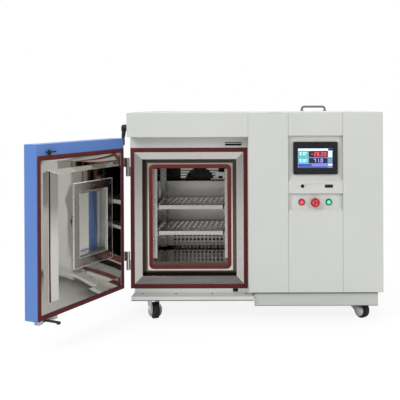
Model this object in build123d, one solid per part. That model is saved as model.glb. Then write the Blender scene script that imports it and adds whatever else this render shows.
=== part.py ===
from build123d import *
import math
import os

# Environmental test chamber, door open. Millimetres.
# Everything is modelled in the corner frame: X from the left side, Y back from the front plane,
# Z up from the floor. save() moves it so that the origin is on the floor under the cabinet's centre.

# Cabinet
CAB_W = 1160.0
CAB_D = 806.0
CAB_TOP = 957.0
CAB_BOTTOM = 142.0
CHAMBER_W = 550.0
FASCIA_H = 110.0
RECESS = 75.0
SHEET = 2.0
INSULATION_D = 495.0
INSULATION_TOP = 840.0

# Chamber opening, liner and the rings around it
OPEN_W = 350.0
OPEN_H = 455.0
OPEN_X = 272.0
OPEN_Z = 468.5
INSIDE_D = 320.0
DUCT_D = 61.0
FLOOR_RAISE = 15.0
LINER_WALL = 2.0
RIM_Y = 112.0
SEAL_IN_W = 18.0
SEAL_IN_T = 2.5
SEAL_IN_R = 23.0
RIM_W = 7.0
CHANNEL_W = 19.0
CHANNEL_Y = 125.0
BEZEL_SIDE = 34.0
BEZEL_DEPTH = 9.0
BEZEL_T = 12.0
BREAKER_T = 3.0
SEAL_OUT_W = 18.5
SEAL_OUT_TOP = 20.0
SEAL_T = 2.2

# Air system behind the baffle
BAFFLE_T = 2.0
BAFFLE_GAP = 12.0
OUTLET_Z = 600.0
VANES = 6
VANE_T = 1.5
VANE_DEPTH = 14.0
OUTLET_LEDGE = 20.0
OUTLET_POST_W = 8.0
GRILLE_HOLE = 12.0
GRILLE_PITCH = 20.0
GRILLE_COLS = 13
GRILLE_ROWS = 4
GRILLE_FIRST = 38.0
FAN_Z = 590.0
FAN_R = 75.0
FAN_HUB_R = 16.0
FAN_W = 30.0
FAN_DISC_T = 2.0
FAN_BLADES = 10
BLADE_R = (41.0, 72.0)
FAN_BACK_GAP = 8.0
SHAFT_INTO_MOTOR = 48.0
SHAFT_R = 6.0
SHAFT_HOLE_R = 9.0
RUN_FIT = 0.05
HEATER_Y = 459.5
HEATER_HALF_W = 100.0
HEATER_RISE = 90.0
HEATER_BEND = 14.0
HEATER_ROD_R = 4.5
EVAP_W = 300.0
EVAP_H = 80.0
EVAP_D = 36.0
EVAP_FINS = 25
FIN_T = 1.5
EVAP_TUBE_R = 5.0
EVAP_TUBE_OUT = 8.0
EVAP_TUBE_ROWS = 3
MOTOR_R = 45.0
MOTOR_L = 80.0
MOTOR_PLATE = 200.0
MOTOR_PLATE_T = 4.0
MOTOR_COVER_R = 35.0
MOTOR_COVER_T = 12.0
MOTOR_BORE_L = 56.0
SENSOR_X = (364.0, 410.0)
SENSOR_Z = (628.0, 648.0)
SENSOR_D = 27.0
SENSOR_ARM_W = 10.0
SENSOR_ARM_D = 18.0
PROBE_Z = 613.0
PROBE_R = 4.5
PROBE_OUT = 26.0

# Shelves
RAIL_W = 15.0
RAIL_T = 4.0
RAIL_FOOT = 11.0
RAIL_TOP_GAP = 6.0
RAIL_FRONT = 28.0
RAIL_REAR = 292.0
RUNNER_W = 22.0
RUNNER_T = 2.0
RUNNER_H = 14.0
SHELF_W = 304.0
SHELF_D = 285.0
SHELF_FRONT = 23.0
SHELF_RIM = 19.0
SHELF_T = 2.0
SHELF_TOPS = (519.0, 397.0)
SHELF_HOLE = 12.0
SHELF_COLS = 11
SHELF_ROWS = 10
SLIDE_GAP = 0.3

# Door
DOOR_W = 546.0
DOOR_H = 697.0
DOOR_T = 65.0
DOOR_GAP = 5.0
DOOR_SHEET = 2.0
DOOR_OPEN = 114.4
PLUG_CREST_GAP = 0.3
PLUG_SHEET = 2.0
PLUG_FOOT_IN = 7.0
PLUG_CREST_IN = 1.0
DOOR_SEAL_T = 2.4
WINDOW_X = 260.0
WINDOW_Z = 495.0
WINDOW_W = 175.0
WINDOW_H = 270.0
WINDOW_FRAME_W = 249.0
WINDOW_FRAME_H = 354.0
WINDOW_FRAME_T = 3.0
TUNNEL_T = 3.0
GLASS_T = 4.0
GLASS_SETBACKS = (50.0, 74.0, 98.0)
HINGE_X = -13.5
HINGE_Y = 83.3
HINGE_R = 9.0
HINGE_H = 86.0
HINGE_ZS = (705.0, 269.0)
HINGE_PIN_R = 4.0
LEAF_T = 4.0
LEAF_BEHIND = 1.0
WEB_IN = 6.0
WEB_OUT = 2.0
PIN_SHORT = 4.0
BORE_CAP = 3.0
LEAF_W = 42.0
KNUCKLE_GAP = 0.5

# Latches and the door handle
TONGUE_X = 478.0
TONGUE_W = 40.0
TONGUE_T = 4.0
TONGUE_REACH = 20.0
TONGUE_Z = 804.5
TONGUE_LIP = 2.5
TONGUE_LIFT = 3.5
TONGUE_LIP_T = 3.0
STEM_W = 16.0
STEM_T = 2.5
STEM_DROP = 10.0
TAIL_W = 10.0
TAIL_L = 18.0
TAIL_DROP = 3.0
TAIL_ROOM = (5.0, 2.0)
KEEPER_W = 85.0
KEEPER_H = 15.5
KEEPER_SLOT_H = 9.5
KEEPER_SLOT_W = 76.0
KEEPER_ROOM = 5.0
KEEPER_CUP_W = 77.0
KEEPER_CUP_RISE = 4.0
KEEPER_SLOT_Z = 803.2
KEEPER_T = 1.5
KEEPER_BOX_D = 25.0
HOOK_X = 486.0
HOOK_W = 12.0
HOOK_T = 6.0
HOOK_PIVOT_Y = 57.0
HOOK_PIVOT_Z = 133.5
HOOK_PIN_R = 3.0
HOOK_EYE_R = 5.2
HOOK_PIN_IN = 2.0
HOOK_REACH = 71.0
HOOK_BEAK = 4.0
HOOK_SLOT_W = 24.0
HOOK_BEAK_L = 11.0
HOOK_EYE_HALF = 18.0
LUG_W = 24.0
LUG_Y = (45.0, 69.0)
LUG_DROP = 14.0
LUG_PLATE_T = 3.0
LUG_SPAN = 104.0
CATCH_W = 32.0
CATCH_T = 4.0
CATCH_TOP = 122.0
CATCH_FROM_TIP = 18.0
LEVER_X = 455.0
LEVER_Z = 470.0
LEVER_L = 125.0
LEVER_HUB_R = 13.0
LEVER_W = 20.0
LEVER_T = 12.0
LEVER_STAND = 38.0
ROSE_W = 36.0
ROSE_H = 130.0
ROSE_T = 4.0
SPINDLE_R = 5.0
SPINDLE_L = 45.0
ROSE_R = 12.0

# Machine cabinet front
SEAM_L = 732.0
SEAM_R = 978.0
POST_W = 10.0
POST_D = 28.0
REC1_Z = (642.0, 851.5)
REC1_D = 18.0
REC1_LIP = 18.0
REC2_Z = (507.0, 590.0)
REC2_D = 16.0
REC2_LIP = 16.0
BEND_SHIFT = 0.8
SCREEN_X = 855.0
SCREEN_Z = 749.0
SCREEN_W = 202.0
SCREEN_H = 148.0
SCREEN_T = 10.0
SCREEN_R = 7.0
DISPLAY_W = 157.0
DISPLAY_H = 88.0
DISPLAY_T = 1.5
DISPLAY_SET = 1.0
DISPLAY_DX = -1.5
PORT_Z = 623.0
LAN_X = 795.5
LAN_R = 8.0
LAN_BODY_R = 6.5
LAN_SOCKET = (10.0, 7.0, 12.0)
USB_X = 914.7
USB_W = 36.0
USB_H = 14.0
USB_BODY_W = 18.0
USB_BODY_H = 9.0
USB_SOCKET = (13.0, 5.0, 14.0)
USB_SCREW_R = 2.2
USB_SCREW_IN = 4.0
PORT_T = 1.5
PORT_L = 22.0
BUTTON_XS = (792.0, 853.0, 915.0)
BUTTON_Z = 549.0
COLLAR_R = 14.8
COLLAR_H = 6.0
COLLAR_CUP_R = 12.0
BARREL_R = 11.0
BARREL_BORE_R = 8.0
BARREL_L = 30.0
NUT_R = 15.0
NUT_T = 5.0
LENS_R = 11.7
LENS_H = 5.0
LENS_TRAVEL = 3.0
LENS_ROUND = 1.0
CUP_FLOOR = 1.0
STEM_SHORT = 6.0
ESTOP_R = 21.0
ESTOP_H = 11.0
ESTOP_TRAVEL = 4.0
ESTOP_STANDS = 9.0
ESTOP_ROUND = 4.0
NOTCH_X = (642.0, 698.0)
NOTCH_H = 3.0

# Machine cabinet sides, back and inside
VENT_ROWS = 10
VENT_PITCH = 22.0
VENT_H = 8.0
VENT_W = 240.0
VENT_Y = 600.0
VENT_Z = 230.0
REAR_MARGIN = 18.0
REAR_VENT_COLS = 3
REAR_VENT_W = 130.0
REAR_VENT_RISE = 150.0
BOW_X = 883.0
BOW_Y = 745.0
BOW_W = 140.0
BOW_H = 30.0
BOW_R = 6.0
BOW_FOOT_R = 11.0
BOW_FOOT_H = 3.0
BOW_BEND = 14.4
COMPRESSOR_R = 85.0
COMPRESSOR_H = 230.0
COMPRESSOR_X = 750.0
COMPRESSOR_Y = 500.0
COMPRESSOR_FOOT = (200.0, 12.0)
COMPRESSOR_ROUND = 30.0
CONDENSER = (30.0, 380.0, 360.0)
CONDENSER_GAP = 12.0
CONDENSER_FINS = 24
CONDENSER_TUBES = (500.0, 600.0, 700.0)
PIPE_R = 5.0
PIPE_RISE = 120.0
INLET_X = 1080.0
INLET_Z = 220.0
INLET_R = 15.0
INLET_L = 26.0
INLET_FLANGE = (21.0, 4.0)
INLET_BORE_R = 9.0
PORT50_R = 25.0
PORT50_WALL = 5.0
PORT50_FLANGE_R = 38.0
PORT50_FLANGE_T = 4.0
PORT50_Y = 300.0
PORT50_Z = 560.0

# Base
BASE_Z = 100.0
RAIL_BASE_Y = (80.0, 756.0)
RAIL_BASE_W = 70.0
BASE_XS = (98.0, 1055.0)
CROSS_YS = (165.0, 640.0)
CROSS_W = 40.0
SKIRT_X = (18.0, 573.0)
SKIRT_FRONT_Z = (105.0, 124.5)
SKIRT_DROP = 4.0
SKIRT_SIDE_DROP = 2.0
BACK_INSET = 20.0
HOOK_SLOT_Z = (126.0, 141.0)
PLINTH_X = (575.0, 1138.0)
PLINTH_Y = 20.0
PLINTH_Z = 76.0
CASTOR_YS = (114.0, 692.0)
CASTOR_TURNS = ((65.0, 50.0), (100.0, 78.0))
WHEEL_R = 37.5
WHEEL_W = 29.0
TRAIL = 27.0
AXLE_R = 5.0
FORK_T = 3.0
FORK_GAP = 2.0
FORK_BACK = 36.0
FORK_FRONT = 24.0
FORK_REAR_Z = 52.0
FORK_ROUND_AXLE = ((15.0, 20.0), (20.0, 2.0), (14.0, -13.0), (-4.0, -18.5), (-16.0, -13.5))
CAP_R = 16.0
CAP_T = 8.0
HOOD_R = 36.0
HOOD_T = 6.0
PLATE = 60.0
PLATE_T = 4.0
STEM_R = 6.0
STEM_UP = 12.0
STEM_HOLE_UP = 14.0
HOOD_GAP = 0.2
TREAD_ROUND = 3.0

# Door lead: an elbow gland on the cabinet's side, a short flexible conduit, a gland on the door's edge
LEAD_R = 8.0
LEAD_TOP = (-36.0, 104.0, 872.0)
LEAD_DOOR = (-10.0, 60.0, 812.0)
LEAD_END_Z = 832.0
LEAD_STRAIGHT = 10.0
LEAD_BEND = 20.0
GLAND_R = 12.0
GLAND_H = 18.0
DOOR_GLAND_R = 8.0

# Derived places
FRAME_X = -CAB_W / 2
FRAME_Y = -CAB_D / 2
IN_X0 = OPEN_X - OPEN_W / 2
IN_X1 = OPEN_X + OPEN_W / 2
IN_Z0 = OPEN_Z - OPEN_H / 2
IN_Z1 = OPEN_Z + OPEN_H / 2
FLOOR_Z = IN_Z0 + FLOOR_RAISE
BAFFLE_Y = RIM_Y + INSIDE_D
LINER_BACK = BAFFLE_Y + BAFFLE_T + DUCT_D
RIM_GROW = SEAL_IN_W + RIM_W
REVEAL_GROW = RIM_GROW + CHANNEL_W
BEZEL_GROW = REVEAL_GROW + BEZEL_SIDE
SEAL_GROW = BEZEL_GROW + SEAL_OUT_W
DOOR_IN = RECESS - DOOR_GAP
DOOR_OUT = DOOR_IN - DOOR_T
DOOR_Z1 = CAB_BOTTOM + DOOR_H
CREST_Y = RIM_Y - SEAL_IN_T - PLUG_CREST_GAP
SEAL_Z1 = OPEN_Z + OPEN_H / 2 + BEZEL_GROW + SEAL_OUT_TOP
INSULATION_Y1 = RECESS + SHEET + INSULATION_D
PLUG_FOOT = REVEAL_GROW - PLUG_FOOT_IN
PLUG_CREST = RIM_GROW - PLUG_CREST_IN
STEM_END = REC2_D + BARREL_L - STEM_SHORT


def box(x0, x1, y0, y1, z0, z1):
    return Pos((x0 + x1) / 2, (y0 + y1) / 2, (z0 + z1) / 2) * Box(x1 - x0, y1 - y0, z1 - z0)


def rod_x(x0, x1, y, z, r):
    return Pos((x0 + x1) / 2, y, z) * Rot(0, 90, 0) * Cylinder(r, x1 - x0)


def rod_y(x, y0, y1, z, r):
    return Pos(x, (y0 + y1) / 2, z) * Rot(90, 0, 0) * Cylinder(r, y1 - y0)


def rod_z(x, y, z0, z1, r):
    return Pos(x, y, (z0 + z1) / 2) * Cylinder(r, z1 - z0)


def opening_box(grow, y0, y1, radius=0.0):
    """A block as large as the chamber opening plus grow on every side."""
    block = box(IN_X0 - grow, IN_X1 + grow, y0, y1, IN_Z0 - grow, IN_Z1 + grow)
    if radius:
        block = fillet(block.edges().filter_by(Axis.Y), radius)
    return block


def opening_face(grow, y):
    """The same outline as a face at depth y."""
    plane = Plane(origin=(OPEN_X, y, OPEN_Z), x_dir=(1, 0, 0), z_dir=(0, -1, 0))
    return plane * Rectangle(OPEN_W + 2 * grow, OPEN_H + 2 * grow)


def taper_block(grow0, y0, grow1, y1):
    return loft([opening_face(grow0, y0), opening_face(grow1, y1)], ruled=True)


def mitred(ring):
    """Cuts a ring round the opening into its four strips, at 45 degrees through its corners."""
    far = OPEN_H
    rise = (OPEN_H - OPEN_W) / 2
    level = [(0, rise), (far, rise + far), (-far, rise + far)]
    upright = [(-rise, 0), (rise, 0), (rise + far, far), (-rise - far, far)]
    y0, y1 = RECESS - 1, CHANNEL_Y + BREAKER_T + 1
    strips = []
    for turn, wedge in ((0, level), (90, upright), (180, level), (270, upright)):
        outline = make_face(Polyline(*wedge, close=True))
        block = extrude(Plane.XZ.offset(-y1) * outline, amount=y1 - y0)
        strips.append(ring & (Pos(OPEN_X, 0, OPEN_Z) * Rot(0, turn, 0) * block))
    return Compound(children=strips)


def prism_x(points, x0, x1):
    """A YZ outline pulled along X."""
    outline = make_face(Polyline(*points, close=True))
    return extrude(Plane.YZ.offset(x0) * outline, amount=x1 - x0)


def window_box(grow, y0, y1):
    return box(
        WINDOW_X - WINDOW_W / 2 - grow, WINDOW_X + WINDOW_W / 2 + grow, y0, y1,
        WINDOW_Z - WINDOW_H / 2 - grow, WINDOW_Z + WINDOW_H / 2 + grow)


def fuse(shapes):
    total = shapes[0]
    for shape in shapes[1:]:
        total = total + shape
    return total


def turn_about(shape, x, y, degrees):
    return Pos(x, y, 0) * Rot(0, 0, degrees) * Pos(-x, -y, 0) * shape


def save(name, shape):
    export_step(Pos(FRAME_X, FRAME_Y, 0) * shape, os.path.join("parts", name + ".step"))


def save_on_door(name, shape):
    """Door pieces are modelled closed and swung open about the hinge pins."""
    save(name, turn_about(shape, HINGE_X, HINGE_Y, -DOOR_OPEN))


# Chamber module

def chamber_front():
    plate = box(0, CHAMBER_W, RECESS, RECESS + SHEET, CAB_BOTTOM, CAB_TOP)
    plate -= opening_box(BEZEL_GROW, RECESS - 1, RECESS + SHEET + 1)
    return plate - keeper_pocket(0.0, RECESS - 1, RECESS + SHEET + 1)


def chamber_shell():
    """The five sheets behind the front plate: two sides, top, bottom and back."""
    t = SHEET
    y0, y1 = RECESS + t, CAB_D - t
    left = box(0, t, y0, y1, CAB_BOTTOM, CAB_TOP)
    left -= rod_x(-1, t + 1, PORT50_Y, PORT50_Z, PORT50_R + PORT50_WALL)
    right = box(CHAMBER_W - t, CHAMBER_W, y0, y1, CAB_BOTTOM, CAB_TOP)
    top = box(t, CHAMBER_W - t, y0, y1, CAB_TOP - t, CAB_TOP)
    bottom = box(t, CHAMBER_W - t, y0, y1, CAB_BOTTOM, CAB_BOTTOM + t)
    back = box(0, CHAMBER_W, y1, CAB_D, CAB_BOTTOM, CAB_TOP)
    return Compound(children=[left, right, top, bottom, back])


def fascia():
    z0 = CAB_TOP - FASCIA_H
    hood = box(0, CHAMBER_W, 0, RECESS, z0, CAB_TOP)
    return hood - box(SHEET, CHAMBER_W - SHEET, SHEET, RECESS + 1, z0 + SHEET, CAB_TOP - SHEET)


def bezel_frame():
    block = opening_box(BEZEL_GROW, RECESS, RECESS + BEZEL_T)
    block -= taper_block(BEZEL_GROW - 0.5, RECESS, REVEAL_GROW, RECESS + BEZEL_DEPTH)
    ring = block - opening_box(REVEAL_GROW, RECESS + BEZEL_DEPTH - 0.5, RECESS + BEZEL_T + 1)
    return mitred(ring)


def thermal_breaker():
    y0 = RECESS + BEZEL_T
    y1 = CHANNEL_Y + BREAKER_T
    ring = opening_box(REVEAL_GROW + BREAKER_T, y0, y1)
    ring -= opening_box(REVEAL_GROW, y0 - 1, CHANNEL_Y)
    return mitred(ring - opening_box(LINER_WALL, CHANNEL_Y - 1, y1 + 1))


def outer_seal():
    z0 = CAB_BOTTOM
    ring = box(IN_X0 - SEAL_GROW, IN_X1 + SEAL_GROW, RECESS - SEAL_T, RECESS, z0, SEAL_Z1)
    return ring - opening_box(BEZEL_GROW, RECESS - SEAL_T - 1, RECESS + 1)


def inner_seal():
    ring = opening_box(SEAL_IN_W, RIM_Y - SEAL_IN_T, RIM_Y, SEAL_IN_R)
    return ring - opening_box(0, RIM_Y - SEAL_IN_T - 1, RIM_Y + 1, SEAL_IN_R - SEAL_IN_W)


def liner():
    y1 = LINER_BACK + LINER_WALL
    walls = opening_box(LINER_WALL, RIM_Y, y1)
    rim = opening_box(RIM_GROW, RIM_Y, RIM_Y + LINER_WALL)
    turned = opening_box(RIM_GROW, RIM_Y + LINER_WALL, CHANNEL_Y)
    turned -= opening_box(RIM_GROW - LINER_WALL, RIM_Y, CHANNEL_Y + 1)
    body = walls + rim + turned
    body -= box(IN_X0, IN_X1, RIM_Y + LINER_WALL, LINER_BACK, FLOOR_Z, IN_Z1)
    body -= opening_box(0, RIM_Y - 1, RIM_Y + LINER_WALL + 1)
    body -= rod_y(OPEN_X, LINER_BACK - 1, y1 + 1, FAN_Z, SHAFT_HOLE_R)
    return body - rod_x(IN_X0 - LINER_WALL - 1, IN_X0 + 1, PORT50_Y, PORT50_Z,
                        PORT50_R + PORT50_WALL)


def insulation():
    foam = box(SHEET, CHAMBER_W - SHEET, RECESS + SHEET, INSULATION_Y1,
               CAB_BOTTOM + SHEET, INSULATION_TOP)
    foam -= opening_box(BEZEL_GROW, RECESS, RECESS + BEZEL_T)
    foam -= opening_box(REVEAL_GROW + BREAKER_T, RECESS, CHANNEL_Y + BREAKER_T)
    foam -= opening_box(LINER_WALL, CHANNEL_Y, LINER_BACK + LINER_WALL)
    foam -= keeper_pocket(KEEPER_T, RECESS, RECESS + SHEET + KEEPER_BOX_D)
    foam -= rod_y(OPEN_X, LINER_BACK, INSULATION_Y1 + 1, FAN_Z, SHAFT_HOLE_R)
    return foam - rod_x(0, IN_X0, PORT50_Y, PORT50_Z, PORT50_R + PORT50_WALL)


def keeper_pocket(grow, y0, y1):
    z = KEEPER_SLOT_Z + KEEPER_SLOT_H / 2
    half_w = KEEPER_CUP_W / 2 + grow
    return box(TONGUE_X - half_w, TONGUE_X + half_w, y0, y1,
               z - KEEPER_H / 2 - grow, z + KEEPER_H / 2 + KEEPER_CUP_RISE + grow)


def latch_keeper():
    z = KEEPER_SLOT_Z + KEEPER_SLOT_H / 2
    y_plate = RECESS - KEEPER_T
    plate = box(TONGUE_X - KEEPER_W / 2, TONGUE_X + KEEPER_W / 2, y_plate, RECESS,
                z - KEEPER_H / 2, z + KEEPER_H / 2)
    back = RECESS + SHEET + KEEPER_BOX_D
    cup = keeper_pocket(KEEPER_T, RECESS + SHEET, back)
    cup -= keeper_pocket(0.0, RECESS + SHEET - 1, back - KEEPER_T)
    neck = keeper_pocket(0.0, RECESS, RECESS + SHEET)
    x0, x1 = TONGUE_X - KEEPER_SLOT_W / 2, TONGUE_X + KEEPER_SLOT_W / 2
    slot_top = KEEPER_SLOT_Z + KEEPER_SLOT_H
    slot = box(x0, x1, y_plate - 1, RECESS + SHEET + 1, KEEPER_SLOT_Z, slot_top)
    lip_room = box(x0, x1, RECESS, RECESS + SHEET + 1, KEEPER_SLOT_Z, slot_top + KEEPER_ROOM)
    return plate + cup + neck - slot - lip_room


def air_baffle():
    plate = box(IN_X0, IN_X1, BAFFLE_Y, BAFFLE_Y + BAFFLE_T, FLOOR_Z + BAFFLE_GAP, OUTLET_Z)
    for row in range(GRILLE_ROWS):
        for col in range(GRILLE_COLS):
            x = OPEN_X + (col - (GRILLE_COLS - 1) / 2) * GRILLE_PITCH
            z = IN_Z0 + GRILLE_FIRST + row * GRILLE_PITCH
            half = GRILLE_HOLE / 2
            plate -= box(x - half, x + half, BAFFLE_Y - 1, BAFFLE_Y + BAFFLE_T + 1,
                         z - half, z + half)
    ledge = box(IN_X0, IN_X1, BAFFLE_Y, BAFFLE_Y + OUTLET_LEDGE, OUTLET_Z, OUTLET_Z + BAFFLE_T)
    pieces = [plate, ledge]
    for x0 in (IN_X0, IN_X1 - OUTLET_POST_W):
        pieces.append(box(x0, x0 + OUTLET_POST_W, BAFFLE_Y, BAFFLE_Y + BAFFLE_T, OUTLET_Z, IN_Z1))
    step = (IN_Z1 - OUTLET_Z) / (VANES + 1)
    for i in range(VANES):
        z = OUTLET_Z + (i + 1) * step
        pieces.append(box(IN_X0, IN_X1, BAFFLE_Y, BAFFLE_Y + VANE_DEPTH, z, z + VANE_T))
    return fuse(pieces)


def fan_wheel():
    y1 = LINER_BACK - FAN_BACK_GAP
    y0 = y1 - FAN_W
    wheel = rod_y(OPEN_X, y1 - FAN_DISC_T, y1, FAN_Z, FAN_R)
    wheel += rod_y(OPEN_X, y0, y1, FAN_Z, FAN_HUB_R)
    blade = box(BLADE_R[0], BLADE_R[1], y0, y1, -FAN_DISC_T / 2, FAN_DISC_T / 2)
    for i in range(FAN_BLADES):
        wheel += Pos(OPEN_X, 0, FAN_Z) * Rot(0, i * 360 / FAN_BLADES, 0) * blade
    return wheel + rod_y(OPEN_X, y1, INSULATION_Y1 + SHAFT_INTO_MOTOR, FAN_Z, SHAFT_R)


def fan_motor():
    half = MOTOR_PLATE / 2
    y0 = INSULATION_Y1
    y1 = y0 + MOTOR_PLATE_T
    plate = box(OPEN_X - half, OPEN_X + half, y0, y1, FAN_Z - half, FAN_Z + half)
    can = rod_y(OPEN_X, y1, y1 + MOTOR_L, FAN_Z, MOTOR_R)
    end = y1 + MOTOR_L
    cover = rod_y(OPEN_X, end, end + MOTOR_COVER_T, FAN_Z, MOTOR_COVER_R)
    bore = rod_y(OPEN_X, y0 - 1, y0 + MOTOR_BORE_L, FAN_Z, SHAFT_R + RUN_FIT)
    return plate + can + cover - bore


def heater():
    """Two sheathed rods bent into a U, one under and one above the fan."""
    x0, x1 = OPEN_X - HEATER_HALF_W, OPEN_X + HEATER_HALF_W
    rods = []
    for z in (FAN_Z - HEATER_RISE, FAN_Z + HEATER_RISE):
        path = FilletPolyline((x0, LINER_BACK, z), (x0, HEATER_Y, z), (x1, HEATER_Y, z),
                              (x1, LINER_BACK, z), radius=HEATER_BEND)
        start = Plane(origin=path @ 0, z_dir=path % 0)
        rods.append(sweep(start * Circle(HEATER_ROD_R), path=path))
    return Compound(children=rods)


def evaporator():
    y0 = LINER_BACK - EVAP_D
    z0 = FLOOR_Z + BAFFLE_GAP
    x0 = OPEN_X - EVAP_W / 2
    fins = []
    step = (EVAP_W - FIN_T) / (EVAP_FINS - 1)
    for i in range(EVAP_FINS):
        x = x0 + i * step
        fins.append(box(x, x + FIN_T, y0, LINER_BACK, z0, z0 + EVAP_H))
    tubes = []
    for row in range(EVAP_TUBE_ROWS):
        z = z0 + EVAP_H * (row + 0.5) / EVAP_TUBE_ROWS
        tubes.append(rod_x(x0 - EVAP_TUBE_OUT, x0 + EVAP_W + EVAP_TUBE_OUT,
                           LINER_BACK - EVAP_D / 2, z, EVAP_TUBE_R))
    return fuse(tubes + fins)


def climate_sensor():
    x0, x1 = SENSOR_X
    z0, z1 = SENSOR_Z
    y_arm = BAFFLE_Y - SENSOR_ARM_D
    block = box(x0, x1, BAFFLE_Y - SENSOR_D, BAFFLE_Y, z0, z1)
    arm = box(x1 - SENSOR_ARM_W, x1, y_arm, BAFFLE_Y, PROBE_Z - PROBE_R, z0)
    return block + arm + rod_x(x0 - PROBE_OUT, x1, y_arm, PROBE_Z, PROBE_R)


def shelf_rails():
    z0 = FLOOR_Z + RAIL_FOOT
    z1 = IN_Z1 - RAIL_TOP_GAP
    pieces = []
    for side in (-1, 1):
        wall = OPEN_X + side * OPEN_W / 2
        inner = wall - side * RAIL_W
        x0, x1 = min(wall, inner), max(wall, inner)
        for y in (RIM_Y + RAIL_FRONT, RIM_Y + RAIL_REAR):
            pieces.append(box(x0, x1, y, y + RAIL_T, z0, z1))
        for top in SHELF_TOPS:
            z = top - SHELF_RIM - SLIDE_GAP
            y0, y1 = RIM_Y + RAIL_FRONT, RIM_Y + RAIL_REAR + RAIL_T
            upright = inner - side * RUNNER_T
            tip = inner - side * RUNNER_W
            pieces.append(box(min(inner, upright), max(inner, upright), y0, y1,
                              z - RUNNER_T, z + RUNNER_H))
            pieces.append(box(min(inner, tip), max(inner, tip), y0, y1, z - RUNNER_T, z))
    return fuse(pieces)


def shelf(top):
    x0 = OPEN_X - SHELF_W / 2
    x1 = OPEN_X + SHELF_W / 2
    y0 = RIM_Y + SHELF_FRONT
    y1 = y0 + SHELF_D
    z0 = top - SHELF_RIM
    tray = box(x0, x1, y0, y1, z0, top)
    tray -= box(x0 + SHELF_T, x1 - SHELF_T, y0 + SHELF_T, y1 - SHELF_T, z0 - 1, top - SHELF_T)
    pitch_x = SHELF_W / (SHELF_COLS + 1)
    pitch_y = SHELF_D / (SHELF_ROWS + 1)
    half = SHELF_HOLE / 2
    for i in range(SHELF_COLS):
        for j in range(SHELF_ROWS):
            x = x0 + (i + 1) * pitch_x
            y = y0 + (j + 1) * pitch_y
            tray -= box(x - half, x + half, y - half, y + half, top - SHELF_T - 1, top + 1)
    return tray


def cable_port():
    r = PORT50_R + PORT50_WALL
    tube = rod_x(0, IN_X0, PORT50_Y, PORT50_Z, r)
    flange = rod_x(-PORT50_FLANGE_T, 0, PORT50_Y, PORT50_Z, PORT50_FLANGE_R)
    bore = rod_x(-PORT50_FLANGE_T - 1, IN_X0 + 1, PORT50_Y, PORT50_Z, PORT50_R)
    return tube + flange - bore


# Machine module

def machine_shell():
    shell = box(CHAMBER_W, CAB_W, SHEET, CAB_D - SHEET, CAB_BOTTOM, CAB_TOP)
    shell -= box(CHAMBER_W + SHEET, CAB_W - SHEET, 0, CAB_D - 2 * SHEET,
                 CAB_BOTTOM + SHEET, CAB_TOP - SHEET)
    shell -= box(CHAMBER_W + 2 * REAR_MARGIN, CAB_W - 2 * REAR_MARGIN, CAB_D - 3 * SHEET, CAB_D,
                 CAB_BOTTOM + 2 * REAR_MARGIN, CAB_TOP - 2 * REAR_MARGIN)
    for x0 in (SEAM_L - POST_W, SEAM_R):
        shell += box(x0, x0 + POST_W, SHEET, POST_D, CAB_BOTTOM + SHEET, CAB_TOP - SHEET)
    for i in range(VENT_ROWS):
        z = VENT_Z + i * VENT_PITCH
        shell -= box(CAB_W - SHEET - 1, CAB_W + 1, VENT_Y - VENT_W / 2, VENT_Y + VENT_W / 2,
                     z, z + VENT_H)
    return shell


def front_panels():
    left = box(CHAMBER_W, SEAM_L, 0, SHEET, CAB_BOTTOM, CAB_TOP)
    left -= box(NOTCH_X[0], NOTCH_X[1], -1, SHEET + 1, CAB_TOP - NOTCH_H, CAB_TOP + 1)
    right = box(SEAM_R, CAB_W, 0, SHEET, CAB_BOTTOM, CAB_TOP)
    return Compound(children=[left, right])


def control_panel():
    t = SHEET
    low1, high1 = REC1_Z
    low2, high2 = REC2_Z
    front = [(0, CAB_TOP), (0, high1), (REC1_D, high1), (REC1_D, low1 + REC1_LIP), (0, low1),
             (0, high2), (REC2_D, high2), (REC2_D, low2 + REC2_LIP), (0, low2), (0, CAB_BOTTOM)]
    back = [(t, CAB_BOTTOM), (t, low2 - BEND_SHIFT),
            (REC2_D + t, low2 + REC2_LIP - BEND_SHIFT), (REC2_D + t, high2 + t), (t, high2 + t),
            (t, low1 - BEND_SHIFT), (REC1_D + t, low1 + REC1_LIP - BEND_SHIFT),
            (REC1_D + t, high1 + t), (t, high1 + t), (t, CAB_TOP)]
    panel = prism_x(front + back, SEAM_L, SEAM_R)
    for x in BUTTON_XS:
        panel -= rod_y(x, REC2_D - 1, REC2_D + t + 1, BUTTON_Z, BARREL_R)
    panel -= rod_y(LAN_X, -1, t + 1, PORT_Z, LAN_BODY_R)
    half_w, half_h = USB_BODY_W / 2, USB_BODY_H / 2
    return panel - box(USB_X - half_w, USB_X + half_w, -1, t + 1, PORT_Z - half_h, PORT_Z + half_h)


def display_box(y0, y1):
    x = SCREEN_X + DISPLAY_DX
    return box(x - DISPLAY_W / 2, x + DISPLAY_W / 2, y0, y1,
               SCREEN_Z - DISPLAY_H / 2, SCREEN_Z + DISPLAY_H / 2)


def screen_bezel():
    y0 = REC1_D - SCREEN_T
    body = box(SCREEN_X - SCREEN_W / 2, SCREEN_X + SCREEN_W / 2, y0, REC1_D,
               SCREEN_Z - SCREEN_H / 2, SCREEN_Z + SCREEN_H / 2)
    body = fillet(body.edges().filter_by(Axis.Y), SCREEN_R)
    return body - display_box(y0 - 1, y0 + DISPLAY_SET + DISPLAY_T)


def screen_glass():
    y0 = REC1_D - SCREEN_T + DISPLAY_SET
    return display_box(y0, y0 + DISPLAY_T)


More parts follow.
